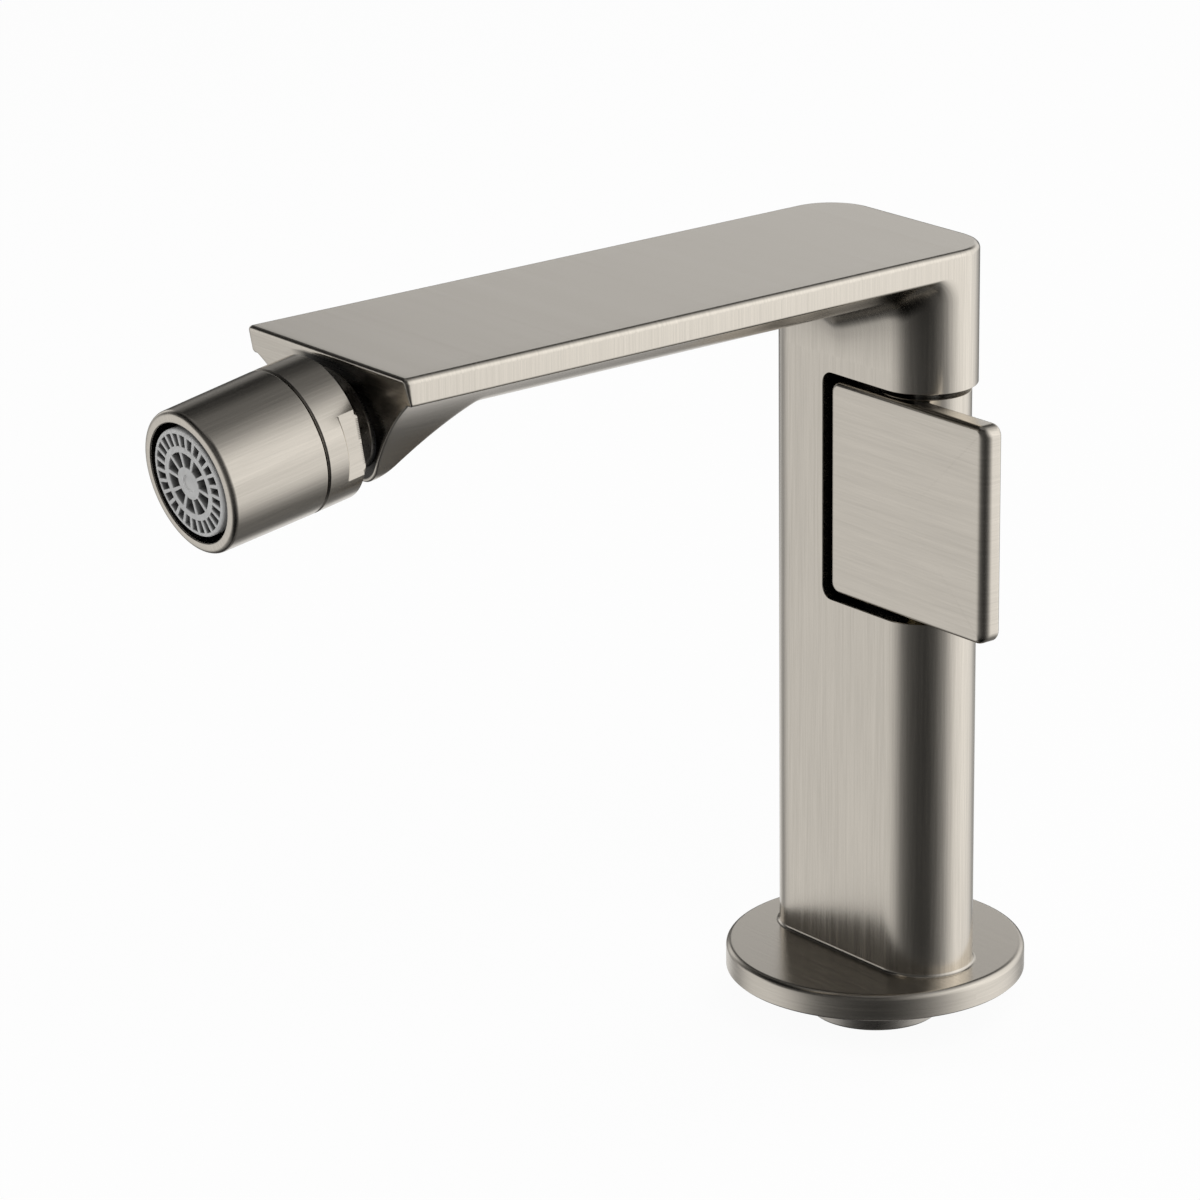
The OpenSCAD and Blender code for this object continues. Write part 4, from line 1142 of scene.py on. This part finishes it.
def add_bump(tree, shader, source, strength, distance):
    """Links a pattern to the shader's normal as a fine relief."""
    bump = add_node(tree, "ShaderNodeBump", {"Strength": strength, "Distance": distance})
    tree.links.new(source, bump.inputs["Height"])
    tree.links.new(bump.outputs["Normal"], shader.inputs["Normal"])


def painted_recess_shade(tree, gloss_and_shade_fac, base, dark):
    """Paints shade into a colour: mixes it towards a dark one where the gloss-and-shade map is negative, in
    recesses and hollows.
    """
    mixed = add_node(tree, "ShaderNodeMix", data_type="RGBA")
    tree.links.new(ranged(tree, gloss_and_shade_fac, 0.0, -1.0, 0.0, 1.0), mixed.inputs["Factor"])
    tree.links.new(base, mixed.inputs[MIX_FIRST])
    mixed.inputs[MIX_SECOND].default_value = dark
    return mixed.outputs[MIX_RESULT]


def brushed_nickel(name, finish):
    """Nickel brushed along the grain map: long fine streaks in tone, gloss and relief, glossier rounded edges, and
    shade painted into recesses."""
    material, tree, shader = new_material(name)
    grain = add_node(tree, "ShaderNodeUVMap", uv_map=GRAIN_MAP).outputs["UV"]
    fine = pattern(tree, grain, FINE_STREAKS, 3.0, 0.7)
    broad = pattern(tree, grain, BROAD_STREAKS, 4.0, 0.65)
    both = add_node(tree, "ShaderNodeMix", {"Factor": 0.4})
    tree.links.new(fine, both.inputs["A"])
    tree.links.new(broad, both.inputs["B"])
    streak = both.outputs["Result"]
    base = two_tone(tree, streak, 0.36, 0.64, finish.nickel, 0.905, 1.085)
    gloss_and_shade_fac = add_node(tree, "ShaderNodeAttribute", attribute_name=GLOSS_AND_SHADE_MAP).outputs["Fac"]
    polish = ranged(tree, gloss_and_shade_fac, -1.0, 1.0, 0.05, -0.05)
    gloss = add_node(tree, "ShaderNodeMath", operation="ADD")
    tree.links.new(ranged(tree, streak, 0.3, 0.7, finish.rough - 0.05, finish.rough + 0.05), gloss.inputs[0])
    tree.links.new(polish, gloss.inputs[1])
    # Painted shade: where the map is negative the colour goes down to 6% of the nickel's.
    shaded = painted_recess_shade(tree, gloss_and_shade_fac, base, scaled(finish.nickel, 0.06))
    tangent = add_node(tree, "ShaderNodeTangent", direction_type="UV_MAP", uv_map=GRAIN_MAP)
    tree.links.new(shaded, shader.inputs["Base Color"])
    tree.links.new(gloss.outputs["Value"], shader.inputs["Roughness"])
    tree.links.new(tangent.outputs["Tangent"], shader.inputs["Tangent"])
    shader.inputs["Metallic"].default_value = 1.0
    shader.inputs["Anisotropic"].default_value = finish.stretch
    add_bump(tree, shader, fine, 0.06, 0.05 * MM)
    return material


def cast_metal(name, tint, rough, grain_scale):
    """A plain metal with machining haze: noise on the object's own coordinates varies its tone and gloss."""
    material, tree, shader = new_material(name)
    place = add_node(tree, "ShaderNodeTexCoord").outputs["Object"]
    haze = pattern(tree, place, (grain_scale, grain_scale, 6 * grain_scale), 4.0)
    tree.links.new(two_tone(tree, haze, 0.35, 0.65, tint, 0.88, 1.06), shader.inputs["Base Color"])
    tree.links.new(ranged(tree, haze, 0.3, 0.7, rough - 0.06, rough + 0.08), shader.inputs["Roughness"])
    shader.inputs["Metallic"].default_value = 1.0
    add_bump(tree, shader, haze, 0.08, 0.05 * MM)
    return material


def moulded(name, tint, rough, spots):
    """A moulded or pressed material: a mottle in tone and gloss, a slight relief and shade painted into recesses.
    """
    material, tree, shader = new_material(name)
    place = add_node(tree, "ShaderNodeTexCoord").outputs["Object"]
    mottle = pattern(tree, place, (spots, spots, spots), 5.0)
    cloud = pattern(tree, place, (spots / 12, spots / 12, spots / 12), 2.0)
    gloss_and_shade_fac = add_node(tree, "ShaderNodeAttribute", attribute_name=GLOSS_AND_SHADE_MAP).outputs["Fac"]
    base = two_tone(tree, cloud, 0.3, 0.7, tint, 0.92, 1.05)
    # Painted shade: where the map is negative the colour goes down to a fifth of the tint.
    tree.links.new(painted_recess_shade(tree, gloss_and_shade_fac, base, scaled(tint, 0.2)), shader.inputs["Base Color"])
    tree.links.new(ranged(tree, mottle, 0.3, 0.7, rough - 0.07, rough + 0.07), shader.inputs["Roughness"])
    add_bump(tree, shader, mottle, 0.12, 0.03 * MM)
    return material


def finish_of(slot, finish):
    """The finish of a slot, made the first time that it is asked for."""
    name = f"{slot}_finish"
    made = bpy.data.materials.get(name)
    if made is not None:
        return made
    if slot == "brushed_nickel":
        return brushed_nickel(name, finish)
    tint = getattr(finish, slot, FINISHES[slot])
    if slot in METALS:
        return cast_metal(name, tint, *METALS[slot])
    return moulded(name, tint, *MOULDED.get(slot, PLAIN_MOULDED))


class MIXER_OT_body(bpy.types.Operator):
    """Makes the column, head and spout as one casting, with the lever's pocket and the nozzle's seat"""

    bl_idname = "mixer.body"
    bl_label = "Body casting"

    def execute(self, context):
        scene = context.scene
        surface = BodySurface(scene.mixer_body, scene.mixer_outlet)
        patches = surface.column() + surface.pocket() + surface.spout() + surface.nose()
        make_piece("body_casting", patches, finish_of("brushed_nickel", scene.mixer_finish), "mixer", "body")
        return {"FINISHED"}


class MIXER_OT_base(bpy.types.Operator):
    """Makes the round base flange and the shank under it"""

    bl_idname = "mixer.base"
    bl_label = "Base flange and shank"

    def execute(self, context):
        finish = context.scene.mixer_finish
        straight = BODY_HIGH[0] - BODY_HIGH[1]
        tenon = SHANK_HIGH[0] - straight
        gap, seal_width, edge_round, foot_break = 0.05 * MM, 3.5 * MM, 1.2 * MM, 0.3 * MM
        shank_break, thread_depth, pitch = 0.4 * MM, 0.4 * MM, 1.0 * MM
        groove = (SEAL_HIGH[0] - seal_width - gap, SEAL_HIGH[0] + gap, SEAL_HIGH[2] + gap)
        flange = flange_patches(edge_round, foot_break, straight, tenon + gap, groove)
        make_piece("flange_ring", flange, finish_of("brushed_nickel", finish), "mixer", "base_flange")
        shank = shank_patches(shank_break, straight, tenon, thread_depth, pitch)
        make_piece("shank_stub", shank, finish_of("plain_nickel", finish), "mixer", "base_shank")
        return {"FINISHED"}


class MIXER_OT_lever(bpy.types.Operator):
    """Makes the lever plate and the hub that it is screwed to"""

    bl_idname = "mixer.lever"
    bl_label = "Lever plate and hub"

    def execute(self, context):
        shape = context.scene.mixer_lever
        nickel = finish_of("brushed_nickel", context.scene.mixer_finish)
        plate = rounded_box(PLATE_LOW, PLATE_HIGH, shape.corner, shape.front_round, shape.grip_round,
                            shape.back_round)
        make_piece("lever_blade", plate, nickel, "lever", "lever_plate")
        make_piece("lever_post", HubSurface(shape).patches(), nickel, "lever", "lever_hub")
        return {"FINISHED"}


class MIXER_OT_outlet(bpy.types.Operator):
    """Makes the ball nipple, the swivel collar, the outlet housing and the aerator insert"""

    bl_idname = "mixer.outlet"
    bl_label = "Swivel outlet"

    def execute(self, context):
        shape, finish = context.scene.mixer_outlet, context.scene.mixer_finish
        nickel = finish_of("brushed_nickel", finish)
        make_piece("nipple", nipple_patches(shape), finish_of("plain_nickel", finish), "mixer", "ball_nipple")
        make_piece("collar", collar_patches(shape), nickel, "outlet", "swivel_collar", sharp=FLAT_ANGLE)
        make_piece("housing", housing_patches(shape), nickel, "outlet", "outlet_housing")
        grey = finish_of("grey_plastic", finish)
        make_piece("aerator_face", InsertSurface(shape).patches(), grey, "outlet", "aerator_insert")
        return {"FINISHED"}


class MIXER_OT_inner(bpy.types.Operator):
    """Gives each piece that keeps its own shape the finish of its slot"""

    bl_idname = "mixer.inner"
    bl_label = "Inner pieces"

    def execute(self, context):
        for name, node in frame["nodes"].items():
            node.data.materials.clear()
            node.data.materials.append(finish_of(SLOT_OF[name], context.scene.mixer_finish))
        return {"FINISHED"}


# The studio's panels as (azimuth, brightness), below and above the horizon. The azimuth is 0 in front and
# grows to the right.
LOW_RING = ((-180, 0.8), (-168, 0.45), (-156, 0.3), (-146, 0.55), (-130, 0.85), (-106, 0.8), (-92, 0.38),
            (-82, 0.28), (-72, 0.54), (-62, 0.7), (-34, 0.72), (-17, 0.5), (-2, 0.22), (13, 0.11),
            (30, 0.065), (48, 0.045), (60, 0.055), (70, 0.085), (82, 0.16), (95, 0.33), (109, 0.62),
            (125, 1.0), (143, 1.06), (165, 1.04), (180, 0.8))
HIGH_RING = ((-180, 0.95), (-150, 0.8), (-133, 0.73), (-123, 0.68), (-117, 0.2), (-109, 0.22),
             (-102, 0.8), (-88, 0.75), (-78, 0.15), (-60, 0.08), (60, 0.06), (85, 0.36), (105, 0.86),
             (119, 1.0), (126, 1.18), (137, 1.18), (150, 1.08), (180, 0.95))
# How the panels fade, as (elevation, share), on the right and on the left.
RIGHT_FADE = ((-90, 0.05), (-50, 0.14), (-45, 0.26), (-39, 0.42), (-33, 0.6), (-20, 0.96), (-12, 1),
              (30, 1), (40, 0.82), (53, 0.52), (64, 0.28), (75, 0.15), (90, 0.1))
LEFT_FADE = ((-90, 0.05), (-55, 0.3), (-50, 0.42), (-45, 0.62), (-38, 1), (20, 1), (28, 0.45),
             (35, 0.06), (50, 0.1), (90, 0.1))
# Dark boards before the panels: strength, soft edges in azimuth and soft edges in elevation.
BOARDS = ((0.85, ((-132, -118), (-82, -95)), ((-24, -34),)),
          (0.88, ((-158, -146), (-96, -108)), ((-18.5, -13), (12, 6))),
          (0.6, ((-164, -154), (-138, -146)), ((-29, -33), (-46, -42))))
# One low light panel in front of them, given in the same way.
SILL = (0.72, ((-66, -58), (-32, -40)), ((-10, -4), (14, 9)))
HORIZON = (-9, 9)
RIGHT_SIDE = (-0.3, 0.15)
OVERHEAD = (0.15, (52, 68))
SURROUND_RADIUS = 3.0
FLOOR_HALF = 2.5
FLOOR_WHITE = 0.95
SENSOR_WIDTH = 36.0
LAMP_AIM = (0.0, -0.05, 0.09)
LAMP_SIZE = 0.9
LAMPS = (("key_lamp", (0.9, -0.5, 1.1), 9.0), ("fill_lamp", (-1.0, -0.9, 0.7), 7.5),
         ("back_lamp", (-0.2, 1.2, 0.9), 5.0))


def held(azimuth, elevation, strength, sides, ends):
    """A board's or panel's strength inside it and 0 outside: the product of its soft edges, each given by
    where it starts and where it stops."""
    for start, stop in sides:
        strength = strength * eased(azimuth, start, stop)
    for start, stop in ends:
        strength = strength * eased(elevation, start, stop)
    return strength


def surround_level(azimuth, elevation):
    """Brightness of the studio round the object: the two rings of panels blend into each other at the horizon
    and fade upwards and downwards, the boards darken them, and the sill and a weak light overhead are
    added."""
    above = eased(elevation, *HORIZON)
    level = (1 - above) * np.interp(azimuth, *zip(*LOW_RING)) + above * np.interp(azimuth, *zip(*HIGH_RING))
    right = eased(np.sin(np.radians(azimuth)) * np.cos(np.radians(elevation)), *RIGHT_SIDE)
    fade = (right * np.interp(elevation, *zip(*RIGHT_FADE))
            + (1 - right) * np.interp(elevation, *zip(*LEFT_FADE)))
    level = level * fade
    for board in BOARDS:
        level = level * (1 - held(azimuth, elevation, *board))
    level = np.maximum(level, held(azimuth, elevation, *SILL))
    return np.maximum(level, OVERHEAD[0] * eased(elevation, *OVERHEAD[1]))


def studio_surround():
    """A ball round the stage that the camera doesn't see, with its brightness in a colour attribute."""
    azimuth = np.linspace(-180, 180, 145)
    elevation = np.linspace(-90, 90, 73)[:, None]
    a, e = np.radians(azimuth), np.radians(elevation)
    points = SURROUND_RADIUS * xyz(np.sin(a) * np.cos(e), -np.cos(a) * np.cos(e), np.sin(e))
    level = np.broadcast_to(surround_level(azimuth, elevation), points.shape[:2])
    cells = stack_cells([patch(points, 0.0, 0.0)])
    mesh = bpy.data.meshes.new("studio_surround")
    mesh.from_pydata(points.reshape(-1, 3).tolist(), [], cells.tolist())
    tone = mesh.color_attributes.new("level", "FLOAT_COLOR", "POINT")
    tints = np.repeat(level.reshape(-1, 1), 4, axis=1)
    tints[:, 3] = 1.0
    tone.data.foreach_set("color", tints.astype(np.float32).ravel())
    material, tree = blank_material("studio_surround")
    source = add_node(tree, "ShaderNodeAttribute", attribute_name="level")
    glow = add_node(tree, "ShaderNodeEmission", {"Strength": 1.0})
    output = add_node(tree, "ShaderNodeOutputMaterial")
    tree.links.new(source.outputs["Color"], glow.inputs["Color"])
    tree.links.new(glow.outputs["Emission"], output.inputs["Surface"])
    material.cycles.emission_sampling = "NONE"
    mesh.materials.append(material)
    ball = bpy.data.objects.new("studio_surround", mesh)
    bpy.context.scene.collection.objects.link(ball)
    ball.visible_camera = False
    ball.visible_transmission = False
    ball.visible_volume_scatter = False
    ball.visible_shadow = False


def shown_rays(tree):
    """1 for the rays that see the background: camera, glossy and transmission rays."""
    path = add_node(tree, "ShaderNodeLightPath")
    seen = path.outputs["Is Camera Ray"]
    for name in ("Is Glossy Ray", "Is Transmission Ray"):
        either = add_node(tree, "ShaderNodeMath", operation="MAXIMUM")
        tree.links.new(seen, either.inputs[0])
        tree.links.new(path.outputs[name], either.inputs[1])
        seen = either.outputs["Value"]
    return seen


def pale_floor(height):
    """A wide pale floor: a matt surface that takes the shadow, seen through most of the way as white."""
    side = np.linspace(-FLOOR_HALF, FLOOR_HALF, 9)
    points = xyz(side, side[:, None], height)
    cells = stack_cells([patch(points, 0.0, 0.0)])[:, ::-1]
    mesh = bpy.data.meshes.new("floor")
    mesh.from_pydata(points.reshape(-1, 3).tolist(), [], cells.tolist())
    material, tree, shader = new_material("pale_floor")
    shader.inputs["Base Color"].default_value = (0.92, 0.92, 0.92, 1.0)
    shader.inputs["Roughness"].default_value = 0.9
    shader.inputs["Specular IOR Level"].default_value = 0.0
    white = add_node(tree, "ShaderNodeEmission", {"Color": (1, 1, 1, 1), "Strength": 1.0})
    blend = add_node(tree, "ShaderNodeMixShader")
    weight = add_node(tree, "ShaderNodeMath", {1: FLOOR_WHITE}, operation="MULTIPLY")
    tree.links.new(shown_rays(tree), weight.inputs[0])
    tree.links.new(weight.outputs["Value"], blend.inputs["Fac"])
    tree.links.new(shader.outputs["BSDF"], blend.inputs[1])
    tree.links.new(white.outputs["Emission"], blend.inputs[2])
    output = next(node for node in tree.nodes if node.type == "OUTPUT_MATERIAL")
    tree.links.new(blend.outputs["Shader"], output.inputs["Surface"])
    material.cycles.emission_sampling = "NONE"
    mesh.materials.append(material)
    floor = bpy.data.objects.new("floor", mesh)
    bpy.context.scene.collection.objects.link(floor)
    floor.visible_glossy = False


def soft_lamp(name, place, power):
    """A square soft lamp turned to the object, which lights matt pieces but isn't mirrored in metal."""
    lamp = bpy.data.lights.new(name, "AREA")
    lamp.shape = "SQUARE"
    lamp.size = LAMP_SIZE
    lamp.energy = power
    made = bpy.data.objects.new(name, lamp)
    made.location = place
    made.rotation_mode = "QUATERNION"
    made.rotation_quaternion = (Vector(LAMP_AIM) - Vector(place)).to_track_quat("-Z", "Y")
    made.visible_glossy = False
    bpy.context.scene.collection.objects.link(made)


def white_world(scene):
    """A world that is white to the rays that see it."""
    world = bpy.data.worlds.new("studio_white")
    world.use_nodes = True
    tree = world.node_tree
    tree.nodes.clear()
    back = add_node(tree, "ShaderNodeBackground", {"Color": (1, 1, 1, 1)})
    output = add_node(tree, "ShaderNodeOutputWorld")
    tree.links.new(shown_rays(tree), back.inputs["Strength"])
    tree.links.new(back.outputs["Background"], output.inputs["Surface"])
    scene.world = world


def photo_camera(scene, stage):
    """A camera that looks at a point beside the middle from an azimuth and elevation, with a slight roll."""
    a, e, r = stage.azimuth, stage.elevation, stage.roll
    back = np.array([math.sin(a) * math.cos(e), -math.cos(a) * math.cos(e), math.sin(e)])
    right = np.array([math.cos(a), math.sin(a), 0.0])
    up = np.cross(back, right)
    aim = stage.aim_right * right + np.array([0, 0, stage.aim_up])
    place = aim + stage.distance * back
    across = math.cos(r) * right + math.sin(r) * up
    upward = math.cos(r) * up - math.sin(r) * right
    lens = bpy.data.cameras.new("photo_camera")
    lens.lens = stage.lens
    lens.sensor_width = SENSOR_WIDTH
    lens.clip_start = 0.05
    lens.clip_end = 20.0
    camera = bpy.data.objects.new("photo_camera", lens)
    turn = np.eye(4)
    turn[:3, 0], turn[:3, 1], turn[:3, 2], turn[:3, 3] = across, upward, back, place
    camera.matrix_world = Matrix(turn.tolist())
    scene.collection.objects.link(camera)
    scene.camera = camera


class MIXER_OT_stage(bpy.types.Operator):
    """Makes the camera, the floor, the white world and the soft light"""

    bl_idname = "mixer.stage"
    bl_label = "Stage"

    def execute(self, context):
        scene, stage = context.scene, context.scene.mixer_stage
        photo_camera(scene, stage)
        pale_floor(SHANK_LOW[2] - stage.floor_drop)
        studio_surround()
        white_world(scene)
        for name, place, power in LAMPS:
            soft_lamp(name, place, power)
        scene.view_settings.view_transform = "Standard"
        return {"FINISHED"}


OPERATORS = (MIXER_OT_body, MIXER_OT_base, MIXER_OT_lever, MIXER_OT_outlet, MIXER_OT_inner, MIXER_OT_stage)
GROUPS = {
    "mixer_body": MixerBodyShape,
    "mixer_lever": MixerLeverShape,
    "mixer_outlet": MixerOutletShape,
    "mixer_finish": MixerFinish,
    "mixer_stage": MixerStage,
}


class MIXER_PT_panel(bpy.types.Panel):
    """Lists the mixer's pieces and their sizes"""

    bl_idname = "MIXER_PT_panel"
    bl_label = "Bidet Mixer"
    bl_space_type = "VIEW_3D"
    bl_region_type = "UI"
    bl_category = "Mixer"

    def draw(self, context):
        for operator in OPERATORS:
            self.layout.operator(operator.bl_idname)
        for name, group in GROUPS.items():
            box = self.layout.box()
            box.label(text=group.__doc__)
            for key in group.__annotations__:
                box.prop(getattr(context.scene, name), key)


def register():
    """Registers the property groups, the operators and the panel."""
    for name, group in GROUPS.items():
        bpy.utils.register_class(group)
        setattr(bpy.types.Scene, name, bpy.props.PointerProperty(type=group))
    for cls in OPERATORS + (MIXER_PT_panel,):
        bpy.utils.register_class(cls)


def unregister():
    """Takes away what register added."""
    for cls in reversed(OPERATORS + (MIXER_PT_panel,)):
        bpy.utils.unregister_class(cls)
    for name, group in reversed(GROUPS.items()):
        delattr(bpy.types.Scene, name)
        bpy.utils.unregister_class(group)


def main():
    """Registers the classes and makes every piece and the stage."""
    register()
    bpy.ops.mixer.body()
    bpy.ops.mixer.base()
    bpy.ops.mixer.lever()
    bpy.ops.mixer.outlet()
    bpy.ops.mixer.inner()
    bpy.ops.mixer.stage()


if __name__ == "__main__":
    main()
